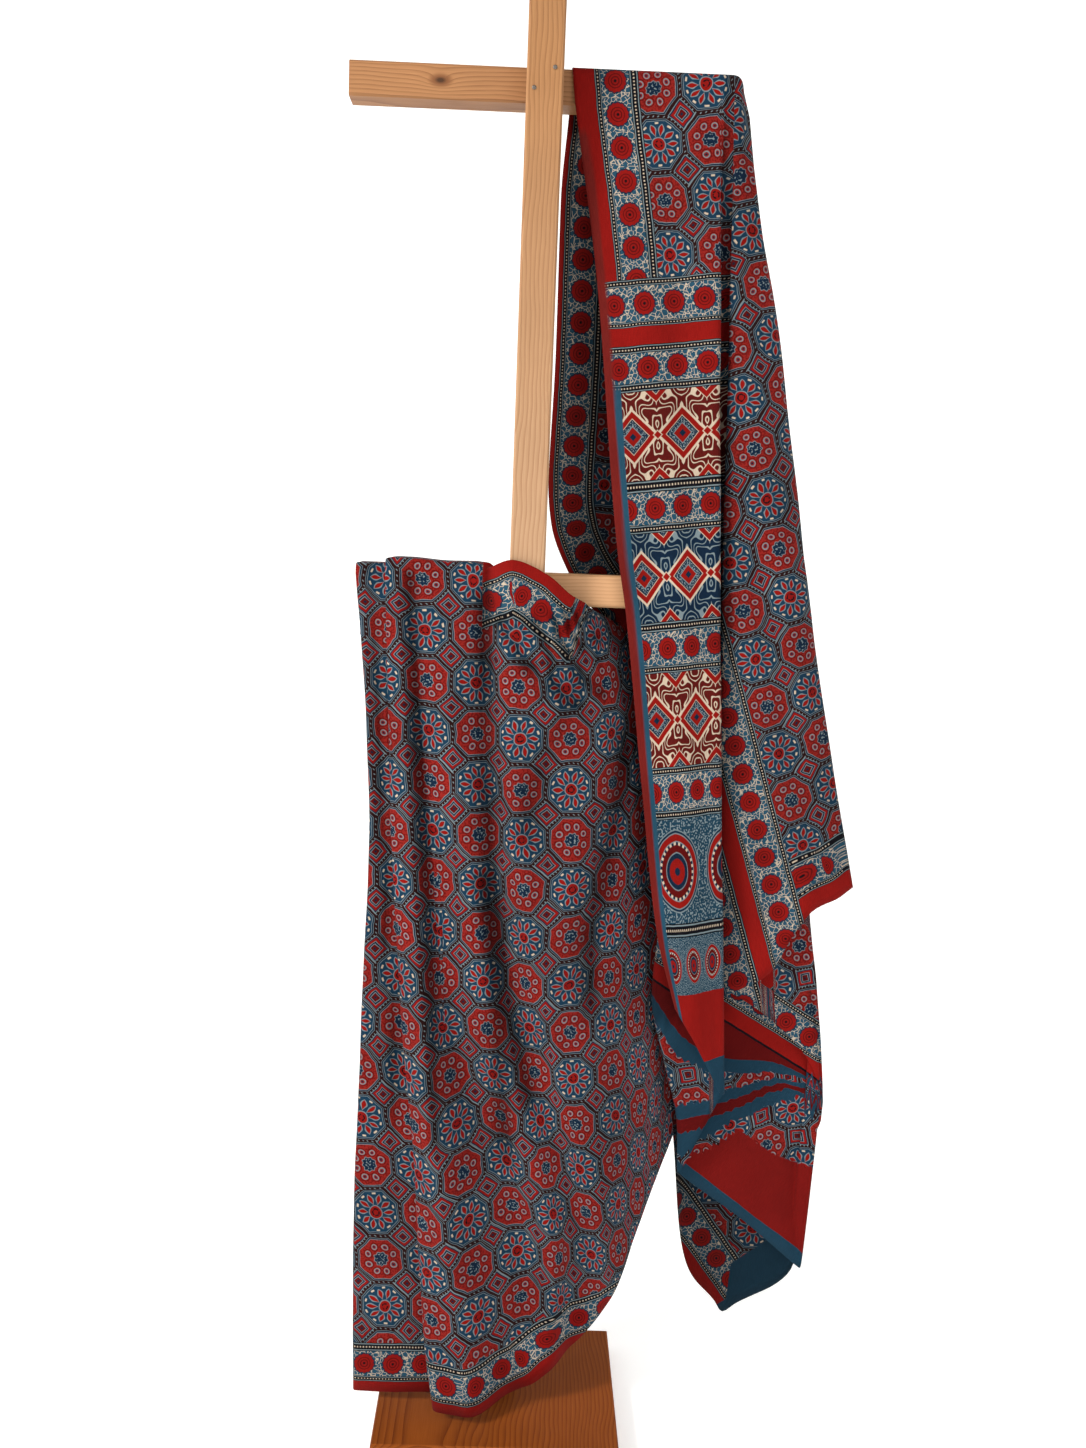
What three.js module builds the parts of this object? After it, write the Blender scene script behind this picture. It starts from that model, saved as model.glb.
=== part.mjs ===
// An ajrakh cloth draped over the two arms of a plain wooden stand. Millimetres, +Z up, front at -Y.
// The origin is the middle of the base's underside, below the post.
import * as THREE from 'three';

// Timber
const base = { width: 325, depth: 260, thick: 30, left: -163.5, front: -146, easing: 2 };
const post = { side: 45, top: 1910 };
const arm = { deep: 42, tall: 42, easing: 2.5 };
const upperArm = { left: -242, right: 231, top: 1779 };
const lowerArm = { left: -214, right: 214, top: 1159.3 };
const screw = { radius: 2.6, proud: 1.4 };
const screwPlaces = [{ x: 11.5, z: 1765 }, { x: -13, z: 1741 }];
const seat = 0.3;

// Cloth
const clothThick = 1.3;
const armMiddleY = post.side / 2 + seat + arm.deep / 2;
const upperDrop = arm.tall;
const fallCells = 12;

// The path of a cloth over an arm: out from the arm's middle, and up from its resting height.
const wrapPath = [
  { out: 0, up: 0 },
  { out: 14, up: 0.4 },
  { out: 20, up: 0.6 },
  { out: 24.5, up: -3.5 },
  { out: 26, up: -9 },
  { out: 27.2, up: -25 },
  { out: 28, up: -42 },
];

// Where the hang lines leave the upper arm, and how far they drop there past its end.
const upperTop = { at: [0, 3, 5, 7, 9, 13, 17, 21, 23, 25, 27, 29],
  x: [33, 103, 157, 213, 220, 226, 231, 236, 239, 243, 246.5, 249],
  down: [0, 0, 0, 0, 0, 0, 0, 0.5, 1.5, 3.5, 6.5, 10] };

// Hang lines in front of the upper arm, from the panel's free edge to the outer fold.
const frontFolds = [
  { fold: 'panelEdge', at: 0, z: [1737, 1528, 1193, 1116, 891, 685, 587],
    x: [38, 74, 115, 129, 160, 191, 219], y: [16, 12, 6, 3, -6, -14, -18] },
  { fold: 'panelLeft', at: 3, z: [1737, 1450, 1100, 800, 640, 545],
    x: [104, 128, 180, 212, 232, 246], y: [16, 9, 2, -11, -19, -22] },
  { fold: 'panelRight', at: 5, z: [1737, 1450, 1100, 800, 600, 505],
    x: [158, 178, 215, 242, 258, 268], y: [16, 12, 4, -8, -17, -20] },
  { fold: 'panelFoldFront', at: 7, z: [1737, 1420, 1102, 785, 600, 467],
    x: [215, 231, 249, 268, 280, 290], y: [16, 8, 1, -10, -15, -17] },
  { fold: 'panelFold', at: 8, z: [1737, 1420, 1102, 785, 600, 467],
    x: [219, 236, 254, 273, 285, 294], y: [16, 13, 7, -4, -9, -12] },
  { fold: 'panelFoldBack', at: 9, z: [1737, 1420, 1102, 785, 600, 455],
    x: [221, 231, 249, 268, 280, 288], y: [16, 18, 13, 2, -3, -7] },
  { fold: 'innerFoldFront', at: 11, z: [1737, 1400, 1100, 900, 700, 600, 500, 412, 345],
    x: [224, 229, 226, 213, 201, 194, 217, 239, 244], y: [16, 26, 24, 14, 5, 0, 2, 6, 8] },
  { fold: 'innerFold', at: 12, z: [1737, 1400, 1100, 900, 700, 600, 500, 412, 338],
    x: [225, 225, 222, 209, 197, 190, 213, 235, 240], y: [16, 33, 33, 23, 12, 6, 8, 12, 14] },
  { fold: 'innerFoldBack', at: 13, z: [1737, 1400, 1100, 900, 700, 600, 500, 412, 332],
    x: [226, 229, 226, 213, 201, 194, 217, 239, 244], y: [16, 40, 42, 32, 20, 12, 14, 18, 20] },
  { fold: 'tailMiddle', at: 15, z: [1737, 1400, 1100, 800, 600, 430, 330, 258],
    x: [229, 256, 285, 300, 312, 325, 334, 340], y: [16, 46, 52, 46, 36, 24, 30, 32] },
  { fold: 'tailFoldBack', at: 17, z: [1737, 1400, 1100, 803, 714, 577, 489, 429, 391, 372, 300, 180],
    x: [231, 285, 335, 385, 400, 416, 431, 438, 430, 411, 411, 428],
    y: [16, 44, 50, 50, 50, 48, 46, 44, 46, 48, 48, 46] },
  { fold: 'tailFold', at: 18, z: [1737, 1400, 1100, 803, 714, 577, 489, 429, 391, 372, 300, 210],
    x: [232, 289, 339, 389, 404, 420, 435, 442, 434, 415, 415, 430],
    y: [16, 39, 44, 45, 45, 43, 41, 39, 41, 43, 43, 41] },
  { fold: 'tailFoldFront', at: 19, z: [1737, 1400, 1100, 803, 714, 577, 500, 440],
    x: [234, 285, 335, 385, 400, 416, 430, 437], y: [16, 34, 38, 40, 40, 38, 36, 34] },
  { fold: 'flareEdgeBack', at: 21, z: [1737, 1400, 1100, 800, 600],
    x: [236, 252, 262, 275, 290], y: [16, 30, 34, 32, 28] },
  { fold: 'flareEdge', at: 22, z: [1737, 1400, 1100, 800, 598],
    x: [237, 248, 258, 271, 286], y: [16, 24, 27, 25, 22] },
  { fold: 'flareEdgeFront', at: 23, z: [1737, 1400, 1100, 800, 596],
    x: [239, 252, 262, 275, 291], y: [16, 18, 20, 18, 16] },
  { fold: 'flareLeft', at: 25, z: [1737, 1500, 1250, 1000, 800, 631],
    x: [244, 262, 282, 306, 328, 350], y: [20, 14, 12, 16, 18, 18] },
  { fold: 'flareMiddle', at: 27, z: [1737, 1500, 1250, 1000, 850, 717],
    x: [249, 286, 320, 357, 380, 402], y: [29, 22, 20, 22, 22, 22] },
  { fold: 'flareRight', at: 28, z: [1737, 1500, 1250, 1000, 850, 731],
    x: [253, 300, 342, 388, 416, 438], y: [36, 31, 30, 32, 33, 34] },
  { fold: 'outerFold', at: 29, z: [1737, 1639, 1517, 1368, 1189, 1031, 896, 771, 746],
    x: [259, 274, 304, 333, 366, 397, 427, 457, 463], y: [44, 44, 44, 44, 44, 44, 44, 44, 44] },
];

// Hang lines behind the upper arm, from the upright free edge beside the post to the outer fold.
const backFolds = [
  { fold: 'riserEdge', at: 0, z: [1737, 1636, 1448, 1281, 1223, 1159, 1100],
    x: [32, 26, 27, 24, 30, 56, 99], y: [72, 74, 76, 76, 75, 73, 71] },
  { fold: 'riserTuck', at: 1, z: [1737, 1450, 1223, 1159, 1092],
    x: [54, 60, 72, 92, 130], y: [72, 78, 78, 74, 71] },
  { fold: 'riserLeft', at: 3, z: [1737, 1450, 1200, 1110, 1050, 985],
    x: [102, 108, 126, 140, 150, 160], y: [72, 82, 78, 73, 64, 50] },
  { fold: 'riserMiddle', at: 5, z: [1737, 1450, 1150, 1080, 850],
    x: [155, 160, 170, 174, 184], y: [72, 84, 78, 74, 49] },
  { fold: 'riserRight', at: 7, z: [1737, 1400, 1150, 1000, 715],
    x: [205, 200, 196, 196, 200], y: [72, 86, 82, 74, 47] },
  { fold: 'swagLeft', at: 9, z: [1737, 1400, 1100, 800, 560],
    x: [215, 212, 210, 212, 215], y: [72, 84, 84, 66, 43] },
  { fold: 'swagFoot', at: 11, z: [1737, 1400, 1100, 700, 384],
    x: [222, 225, 228, 232, 233], y: [72, 84, 86, 66, 34] },
  { fold: 'tongueLeft', at: 14, z: [1737, 1400, 1000, 600, 328, 176],
    x: [229, 240, 252, 260, 260, 266], y: [72, 88, 92, 78, 62, 58] },
  { fold: 'tongueFoot', at: 17, z: [1737, 1400, 1000, 600, 300, 100],
    x: [233, 255, 285, 308, 316, 323], y: [72, 90, 96, 82, 66, 60] },
  { fold: 'tongueRight', at: 20, z: [1737, 1400, 1000, 700, 450, 300, 185],
    x: [238, 275, 330, 372, 400, 405, 418], y: [70, 86, 94, 84, 72, 66, 62] },
  { fold: 'backHem', at: 24, z: [1737, 1500, 1250, 1000, 850, 715],
    x: [244, 272, 305, 345, 372, 396], y: [62, 76, 82, 82, 76, 66] },
  { fold: 'backRight', at: 27, z: [1737, 1500, 1250, 1000, 850, 732],
    x: [249, 292, 332, 376, 405, 432], y: [54, 60, 62, 62, 60, 58] },
  { fold: 'outerFold', at: 29, z: [1737, 1639, 1517, 1368, 1189, 1031, 896, 771, 746],
    x: [259, 274, 304, 333, 366, 397, 427, 457, 463], y: [44, 44, 44, 44, 44, 44, 44, 44, 44] },
];
const seamRows = 11;

// Hang lines of the skirt on the lower arm, from its inner end to the sweep behind the panel.
// lift is how far its layer lies above the lowest one, and over is the share that goes over the arm.
const skirtFolds = [
  { fold: 'innerEnd', at: 0, lift: 0, over: 1, z: [1150, 900, 600, 300, 70],
    x: [-62, -66, -72, -80, -88], y: [18, 8, -8, -20, -30] },
  { fold: 'leftFoldBack', at: 4, lift: 0, over: 1, z: [1150, 961, 816, 622, 498, 340, 173, 48],
    x: [-218, -200, -192, -195, -197, -199, -198, -195], y: [18, 7, -2, -12, -20, -28, -38, -47] },
  { fold: 'leftFold', at: 5, lift: 1.8, over: 1, z: [1150, 961, 816, 622, 498, 340, 173, 45],
    x: [-222, -203, -195, -198, -200, -202, -201, -198], y: [16.2, 3, -6, -17, -25, -33, -44, -53] },
  { fold: 'leftFoldFront', at: 6, lift: 3.6, over: 1, z: [1150, 961, 816, 622, 498, 340, 173, 45],
    x: [-218, -200, -192, -195, -197, -199, -198, -195], y: [14.4, -1, -11, -22, -31, -40, -51, -60] },
  { fold: 'pleatBack', at: 8, lift: 3.6, over: 1, z: [1150, 900, 600, 300, 50],
    x: [-112, -104, -92, -60, -40], y: [14.4, -4, -26, -48, -66] },
  { fold: 'pleatTurn', at: 9, lift: 5.4, over: 1, z: [1150, 900, 600, 300, 50],
    x: [-108, -100, -88, -56, -36], y: [12.6, -8, -31, -53, -71] },
  { fold: 'pleatFront', at: 10, lift: 7.2, over: 1, z: [1150, 900, 600, 300, 50],
    x: [-112, -104, -92, -60, -40], y: [10.8, -12, -36, -58, -77] },
  { fold: 'frontEdgeBack', at: 12, lift: 7.2, over: 1, z: [1150, 779, 565, 382, 231, 123, 45],
    x: [-179, -158, -140, -118, -105, -95, -83], y: [10.8, -20, -38, -54, -68, -78, -88] },
  { fold: 'frontEdge', at: 13, lift: 9, over: 1, z: [1150, 779, 565, 382, 231, 123, 45],
    x: [-183, -162, -144, -122, -109, -99, -87], y: [9, -24, -42, -59, -73, -83, -93] },
  { fold: 'frontEdgeTurn', at: 14, lift: 10.8, over: 1, z: [1150, 779, 565, 382, 231, 123, 45],
    x: [-179, -158, -140, -118, -105, -95, -83], y: [7.2, -29, -47, -64, -79, -89, -98] },
  { fold: 'firstRidge', at: 16, lift: 11.5, over: 1, z: [1150, 990, 781, 568, 331, 45],
    x: [-168, -153, -133, -113, -79, -44], y: [6, -14, -38, -58, -82, -102] },
  { fold: 'firstValley', at: 18, lift: 11.5, over: 1, z: [1150, 990, 773, 564, 449, 350, 242, 61],
    x: [-155, -137, -107, -81, -34, -5, 24, 36], y: [6, -6, -20, -32, -38, -42, -48, -56] },
  { fold: 'secondRidge', at: 20, lift: 9, over: 1, z: [1150, 947, 732, 548, 356, 227, 80],
    x: [-105, -86, -59, -13, 40, 68, 67], y: [6, -20, -42, -60, -68, -66, -58] },
  { fold: 'secondValley', at: 22, lift: 9.5, over: 0.4, z: [1160, 949, 871, 668, 476, 276, 105],
    x: [-57, -52, -40, -5, 49, 93, 101], y: [2, -20, -27, -38, -38, -34, -30] },
  { fold: 'flapLeft', at: 24, lift: 0, over: 0, z: [1176, 999, 805, 603, 392, 212, 138],
    x: [-19, -10, 10, 50, 99, 131, 130], y: [-29, -42, -50, -54, -48, -34, -26] },
  { fold: 'flapRight', at: 26, lift: 0, over: 0, z: [1159, 1001, 806, 602, 385, 175],
    x: [26, 35, 62, 104, 148, 156], y: [-29, -42, -44, -36, -22, -10] },
  { fold: 'gatherLeft', at: 28, lift: 0, over: 0, z: [1135, 975, 802, 594, 419, 252],
    x: [56, 88, 118, 152, 182, 185], y: [-22, -24, -18, -8, 2, 6] },
  { fold: 'gatherRight', at: 30, lift: 0, over: 0, z: [1115, 999, 797, 586, 471, 319],
    x: [76, 117, 151, 182, 202, 207], y: [-6, 2, 10, 14, 16, 16] },
];
const skirtCells = 32;
const lastOver = 23;
const skirtOver = [
  { out: 24.5, up: -3.5 },
  { out: 20, up: 0.6 },
  { out: 0, up: 0.2 },
  { out: -20, up: 0.6 },
  { out: -24.5, up: -3.5 },
  { out: -27, up: -30 },
  { out: -28, up: -95 },
];

// A smooth value between knots that never overshoots them (a monotone cubic).
function smooth(knots, values, at) {
  const last = knots.length - 1;
  const rising = knots[last] > knots[0] ? 1 : -1;
  let k = 0;
  while (k < last - 1 && (at - knots[k + 1]) * rising > 0) k += 1;
  const gap = (i) => (knots[i + 1] - knots[i]) * rising;
  const slope = (i) => (values[i + 1] - values[i]) / gap(i);
  const tangent = (i) => {
    if (i === 0) return slope(0);
    if (i === last) return slope(last - 1);
    const before = slope(i - 1);
    const after = slope(i);
    if (before * after <= 0) return 0;
    return (before + after) * 3 / ((2 * before + after) / before + (before + 2 * after) / after) / 1;
  };
  const h = gap(k);
  const u = Math.min(1, Math.max(0, (at - knots[k]) * rising / h));
  const startShare = (1 + 2 * u) * (1 - u) ** 2;
  const endShare = u * u * (3 - 2 * u);
  const startPull = u * (1 - u) ** 2 * h;
  const endPull = -u * u * (1 - u) * h;
  return startShare * values[k] + endShare * values[k + 1] + startPull * tangent(k) + endPull * tangent(k + 1);
}

// The point a share q of the way down one tabled hang line.
function downFold(row, q) {
  const first = row.z[0];
  const z = first + (row.z[row.z.length - 1] - first) * q;
  return { x: smooth(row.z, row.x, z), y: smooth(row.z, row.y, z), z };
}

// The point a share q of the way down, at any place across a table of hang lines.
function hang(folds, at, q) {
  const places = folds.map((row) => row.at);
  const points = folds.map((row) => downFold(row, q));
  const value = (key) => smooth(places, points.map((point) => point[key]), at);
  return new THREE.Vector3(value('x'), value('y'), value('z'));
}

// One hang line of the upper fall: over the arm from its middle, then down. side is -1 in front, 1 behind.
function upperLine(folds, side, at) {
  const start = hang(folds, at, 0);
  const reach = Math.abs(start.y - armMiddleY) / wrapPath[wrapPath.length - 1].out;
  const topX = smooth(upperTop.at, upperTop.x, at);
  const rest = upperArm.top + seat + clothThick / 2 - smooth(upperTop.at, upperTop.down, at);
  const span = -wrapPath[wrapPath.length - 1].up;
  const line = wrapPath.slice(0, -1).map((step) => {
    const share = Math.max(0, -step.up) / span;
    const z = rest + step.up + (start.z - (rest - span)) * share;
    return new THREE.Vector3(topX + (start.x - topX) * share, armMiddleY + side * reach * step.out, z);
  });
  for (let cell = 0; cell <= fallCells; cell += 1) line.push(hang(folds, at, cell / fallCells));
  return line;
}

// The point a number of steps along the skirt's path over the lower arm, counted from its front.
function overLower(x, lift, steps, start) {
  const path = skirtOver.map((step) => new THREE.Vector3(x,
    armMiddleY - step.out - Math.sign(step.out) * lift,
    lowerArm.top + seat + clothThick / 2 + step.up + lift));
  path.unshift(start);
  const i = Math.min(path.length - 2, Math.floor(steps));
  return path[i].clone().lerp(path[i + 1], steps - i);
}

// One hang line of the skirt: from its end behind the lower arm, over it, then down to the hem.
function skirtLine(at, shares) {
  const places = skirtFolds.map((row) => row.at);
  const column = (key) => smooth(places, skirtFolds.map((row) => row[key]), at);
  const start = hang(skirtFolds, at, 0);
  const over = at >= lastOver ? 0 : column('over');
  const steps = skirtOver.length;
  const line = [];
  for (let step = steps; step > 0; step -= 1) {
    line.push(overLower(start.x, column('lift'), over * step, start));
  }
  shares.forEach((share) => line.push(hang(skirtFolds, at, share)));
  return line;
}

// Joins hang lines side by side into triangles, sharing every point that two lines have in common.
function sheetPoints() {
  return { points: [], faces: [], seen: new Map() };
}

function pointIndex(sheet, point) {
  const key = point.toArray().map((value) => value.toFixed(3)).join(' ');
  if (!sheet.seen.has(key)) {
    sheet.seen.set(key, sheet.points.length);
    sheet.points.push(point.clone());
  }
  return sheet.seen.get(key);
}

function addLines(sheet, lines, facing) {
  const grid = lines.map((line) => line.map((point) => pointIndex(sheet, point)));
  const addFace = (a, b, c) => {
    if (a === b || b === c || c === a) return;
    sheet.faces.push(facing > 0 ? [a, b, c] : [a, c, b]);
  };
  for (let i = 0; i + 1 < grid.length; i += 1) {
    for (let j = 0; j + 1 < grid[i].length; j += 1) {
      addFace(grid[i][j], grid[i][j + 1], grid[i + 1][j + 1]);
      addFace(grid[i][j], grid[i + 1][j + 1], grid[i + 1][j]);
    }
  }
}

// Gives the sheet its thickness, half to each side of every point, and closes its free edges.
function thicken(sheet, thick) {
  const count = sheet.points.length;
  const normals = sheet.points.map(() => new THREE.Vector3());
  const openEdges = new Map();
  sheet.faces.forEach(([a, b, c]) => {
    const ab = sheet.points[b].clone().sub(sheet.points[a]);
    const ac = sheet.points[c].clone().sub(sheet.points[a]);
    const area = ab.cross(ac);
    [a, b, c].forEach((index) => normals[index].add(area));
    [[a, b], [b, c], [c, a]].forEach(([from, to]) => {
      if (!openEdges.delete(`${to} ${from}`)) openEdges.set(`${from} ${to}`, [from, to]);
    });
  });
  const positions = [];
  [0.5, -0.5].forEach((share) => sheet.points.forEach((point, i) => {
    positions.push(...point.clone().addScaledVector(normals[i].clone().normalize(), thick * share).toArray());
  }));
  const indices = [];
  sheet.faces.forEach(([a, b, c]) => indices.push(a, b, c, count + a, count + c, count + b));
  openEdges.forEach(([from, to]) => indices.push(to, from, count + from, to, count + from, count + to));
  const geometry = new THREE.BufferGeometry();
  geometry.setAttribute('position', new THREE.Float32BufferAttribute(positions, 3));
  geometry.setIndex(indices);
  return geometry;
}

function clothGeometry() {
  const lastAt = upperTop.at[upperTop.at.length - 1];
  const places = Array.from({ length: lastAt + 1 }, (_, at) => at);
  const frontLines = places.map((at) => upperLine(frontFolds, -1, at));
  const backLines = places.map((at) => upperLine(backFolds, 1, at));
  const seam = backLines.slice(0, seamRows + 1).map((line) => line[line.length - 1]);
  const shares = seam.map((point) => (seam[0].z - point.z) / (seam[0].z - seam[seamRows].z));
  const skirtLines = [];
  for (let at = 0; at < skirtCells; at += 1) skirtLines.push(skirtLine(at, shares));
  const sweep = skirtOver.map(() => seam[0]);
  skirtLines.push([...sweep, ...seam]);
  const sheet = sheetPoints();
  addLines(sheet, frontLines, 1);
  addLines(sheet, backLines, -1);
  addLines(sheet, skirtLines, -1);
  return thicken(sheet, clothThick);
}

// A straight bar with eased long edges, its section in the YZ plane.
function barGeometry(length, deep, tall, easing) {
  const section = new THREE.Shape();
  const halfDeep = deep / 2;
  const halfTall = tall / 2;
  section.moveTo(-halfDeep + easing, -halfTall);
  section.lineTo(halfDeep - easing, -halfTall);
  section.lineTo(halfDeep, -halfTall + easing);
  section.lineTo(halfDeep, halfTall - easing);
  section.lineTo(halfDeep - easing, halfTall);
  section.lineTo(-halfDeep + easing, halfTall);
  section.lineTo(-halfDeep, halfTall - easing);
  section.lineTo(-halfDeep, -halfTall + easing);
  section.closePath();
  const geometry = new THREE.ExtrudeGeometry(section, { depth: length, bevelEnabled: false });
  geometry.translate(0, 0, -length / 2);
  return geometry;
}

// A board lying flat with its top edges eased, its underside at height 0.
function boardGeometry() {
  const { width, depth, thick, easing } = base;
  const outline = new THREE.Shape();
  outline.moveTo(0, 0);
  outline.lineTo(width - 2 * easing, 0);
  outline.lineTo(width - 2 * easing, depth - 2 * easing);
  outline.lineTo(0, depth - 2 * easing);
  outline.closePath();
  const geometry = new THREE.ExtrudeGeometry(outline, { depth: thick - 2 * easing, bevelEnabled: true,
    bevelThickness: easing, bevelSize: easing, bevelSegments: 1 });
  geometry.translate(base.left + easing, base.front + easing, easing);
  return geometry;
}

function timber(color) {
  return new THREE.MeshStandardMaterial({ color, roughness: 0.5, metalness: 0 });
}

function named(name, geometry, material) {
  const mesh = new THREE.Mesh(geometry, material);
  mesh.name = name;
  return mesh;
}

const group = new THREE.Group();

const baseMesh = named('base', boardGeometry(), timber('#9a5a2c'));
group.add(baseMesh);

const postLength = post.top - base.thick - seat;
const postMesh = named('post', barGeometry(postLength, post.side, post.side, arm.easing), timber('#cf9a64'));
postMesh.position.set(0, 0, base.thick + seat + postLength / 2);
group.add(postMesh);

function armMesh(name, place) {
  const mesh = named(name, barGeometry(place.right - place.left, arm.deep, arm.tall, arm.easing), timber('#c68c55'));
  mesh.rotation.set(Math.PI / 2, 0, Math.PI / 2, 'ZXY');
  mesh.position.set((place.left + place.right) / 2, armMiddleY, place.top - arm.tall / 2);
  return mesh;
}
group.add(armMesh('upper_arm', upperArm));
group.add(armMesh('lower_arm', lowerArm));

screwPlaces.forEach((place, i) => {
  const { radius, proud } = screw;
  const profile = [[0, 0], [radius, 0], [radius, proud * 0.4], [radius * 0.6, proud], [0, proud]];
  const head = new THREE.LatheGeometry(profile.map(([across, up]) => new THREE.Vector2(across, up)), 16);
  const mesh = named(`screw_${i + 1}`, head, new THREE.MeshStandardMaterial({ color: '#6b6258', roughness: 0.45,
    metalness: 0.9 }));
  mesh.rotation.set(Math.PI, 0, 0);
  mesh.position.set(place.x, -post.side / 2 - seat, place.z);
  group.add(mesh);
});

group.add(named('cloth', clothGeometry(), new THREE.MeshStandardMaterial({ color: '#8a3a3a', roughness: 0.9,
  metalness: 0 })));

export default group;
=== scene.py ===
import math

import bpy
import numpy as np
from mathutils import Matrix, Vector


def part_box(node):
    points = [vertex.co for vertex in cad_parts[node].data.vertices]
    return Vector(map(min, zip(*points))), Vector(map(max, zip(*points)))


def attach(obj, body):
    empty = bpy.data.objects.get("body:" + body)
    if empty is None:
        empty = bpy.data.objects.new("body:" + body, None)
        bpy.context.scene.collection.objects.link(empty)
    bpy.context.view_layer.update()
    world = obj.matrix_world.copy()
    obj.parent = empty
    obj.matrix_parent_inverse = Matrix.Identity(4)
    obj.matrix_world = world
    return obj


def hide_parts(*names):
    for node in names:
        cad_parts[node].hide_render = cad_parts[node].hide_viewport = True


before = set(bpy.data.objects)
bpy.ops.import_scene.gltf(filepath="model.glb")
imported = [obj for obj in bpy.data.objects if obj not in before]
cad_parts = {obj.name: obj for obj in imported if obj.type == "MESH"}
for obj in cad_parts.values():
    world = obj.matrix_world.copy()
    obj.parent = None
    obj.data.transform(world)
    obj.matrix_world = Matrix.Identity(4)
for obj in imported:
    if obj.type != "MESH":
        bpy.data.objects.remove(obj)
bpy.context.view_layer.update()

mm = 0.001

# Camera, fitted to the stand's edges: place in millimetres, angles in degrees, focal length in frame heights.
view = dict(x=-3.8, y=-1683.9, z=1213.0, yaw=1.08, pitch=8.42, roll=2.23, focal=0.898, sensor=36.0)


def makeCamera():
    yaw, pitch, roll = (math.radians(view[key]) for key in ("yaw", "pitch", "roll"))
    ahead = np.array([math.sin(yaw) * math.cos(pitch), math.cos(yaw) * math.cos(pitch), -math.sin(pitch)])
    level = np.array([math.cos(yaw), -math.sin(yaw), 0.0])
    upright = np.cross(level, ahead)
    right = math.cos(roll) * level + math.sin(roll) * upright
    up = math.cos(roll) * upright - math.sin(roll) * level
    data = bpy.data.cameras.new("camera")
    data.sensor_width = view["sensor"]
    data.lens = view["focal"] * view["sensor"]
    data.clip_end = 60
    camera = bpy.data.objects.new("camera", data)
    turn = Matrix([[right[i], up[i], -ahead[i]] for i in range(3)]).to_4x4()
    camera.matrix_world = Matrix.Translation([view["x"] * mm, view["y"] * mm, view["z"] * mm]) @ turn
    bpy.context.scene.collection.objects.link(camera)
    bpy.context.scene.camera = camera


def makeLight(name, place, aim, size, power, colour):
    data = bpy.data.lights.new(name, "AREA")
    data.shape = "DISK"
    data.size = size
    data.energy = power
    data.color = colour
    light = bpy.data.objects.new(name, data)
    light.location = place
    away = np.array(place, float) - np.array(aim, float)
    away /= np.linalg.norm(away)
    side = np.cross([0.0, 0.0, 1.0], away)
    side /= np.linalg.norm(side)
    top = np.cross(away, side)
    turn = Matrix([[side[i], top[i], away[i]] for i in range(3)]).to_4x4()
    light.matrix_world = Matrix.Translation(place) @ turn
    bpy.context.scene.collection.objects.link(light)


def makeStage():  # a round floor that curves up all round: flat, a quarter circle, then straight
    mesh = bpy.data.meshes.new("floor")
    flat, bend, wallTop, sides = 5.0, 2.0, 8.0, 48
    turn = np.linspace(0, math.pi / 2, 13)
    radius = np.concatenate([[0.02], flat + bend * np.sin(turn), [flat + bend]])
    height = np.concatenate([[0.0], bend - bend * np.cos(turn), [wallTop]]) - 0.0005
    angle = np.linspace(0, 2 * math.pi, sides, endpoint=False)
    rings = np.stack([radius[:, None] * np.cos(angle), radius[:, None] * np.sin(angle),
                      height[:, None] + 0 * angle], -1).reshape(-1, 3)
    level, side = (part.ravel() for part in np.indices((len(radius) - 1, sides)))
    after = (side + 1) % sides
    faces = np.stack([level * sides + side, (level + 1) * sides + side, (level + 1) * sides + after,
                      level * sides + after], -1)
    mesh.from_pydata(rings.tolist(), [], faces.tolist() + [list(range(sides))])
    mesh.polygons.foreach_set("use_smooth", np.ones(len(mesh.polygons), bool))
    floor = bpy.data.objects.new("floor", mesh)
    bpy.context.scene.collection.objects.link(floor)
    material = bpy.data.materials.new("floor")
    material.use_nodes = True
    shader = material.node_tree.nodes["Principled BSDF"]
    shader.inputs["Base Color"].default_value = (0.9, 0.9, 0.895, 1)
    shader.inputs["Roughness"].default_value = 0.9
    shader.inputs["Emission Color"].default_value = (1.0, 0.998, 0.99, 1)
    shader.inputs["Emission Strength"].default_value = 0.36
    mesh.materials.append(material)
    world = bpy.data.worlds.new("studio")
    world.use_nodes = True
    world.node_tree.nodes["Background"].inputs["Color"].default_value = (1.0, 0.995, 0.985, 1)
    world.node_tree.nodes["Background"].inputs["Strength"].default_value = 0.3
    bpy.context.scene.world = world
    makeLight("keyLight", (-2.9, -1.9, 2.7), (0.05, 0, 0.85), 0.8, 140, (1.0, 0.975, 0.94))
    makeLight("fillLight", (1.6, -3.2, 1.5), (0.1, 0, 0.9), 1.8, 14, (0.95, 0.97, 1.0))
    bpy.context.scene.view_settings.view_transform = "Standard"
    bpy.context.scene.view_settings.look = "None"


makeCamera()
makeStage()
print("camera and studio made")


# Small helpers that write node trees. A value is a number, a colour or another node's socket.
def newNode(tree, kind, **settings):
    node = tree.nodes.new(kind)
    for key, value in settings.items():
        setattr(node, key, value)
    return node


def feed(tree, socket, value):  # links a socket, or sets a number or a colour
    if isinstance(value, bpy.types.NodeSocket):
        tree.links.new(value, socket)
    elif isinstance(value, tuple):
        socket.default_value = (*value, 1)
    elif value is not None:
        socket.default_value = value


def calc(tree, operation, first, second=None, third=None):  # one Math node
    node = newNode(tree, "ShaderNodeMath", operation=operation)
    for socket, value in zip(node.inputs, (first, second, third)):
        feed(tree, socket, value)
    return node.outputs[0]


def plus(tree, first, second):
    return calc(tree, "ADD", first, second)


def minus(tree, first, second):
    return calc(tree, "SUBTRACT", first, second)


def times(tree, first, second):
    return calc(tree, "MULTIPLY", first, second)


def absolute(tree, value):
    return calc(tree, "ABSOLUTE", value)


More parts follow.
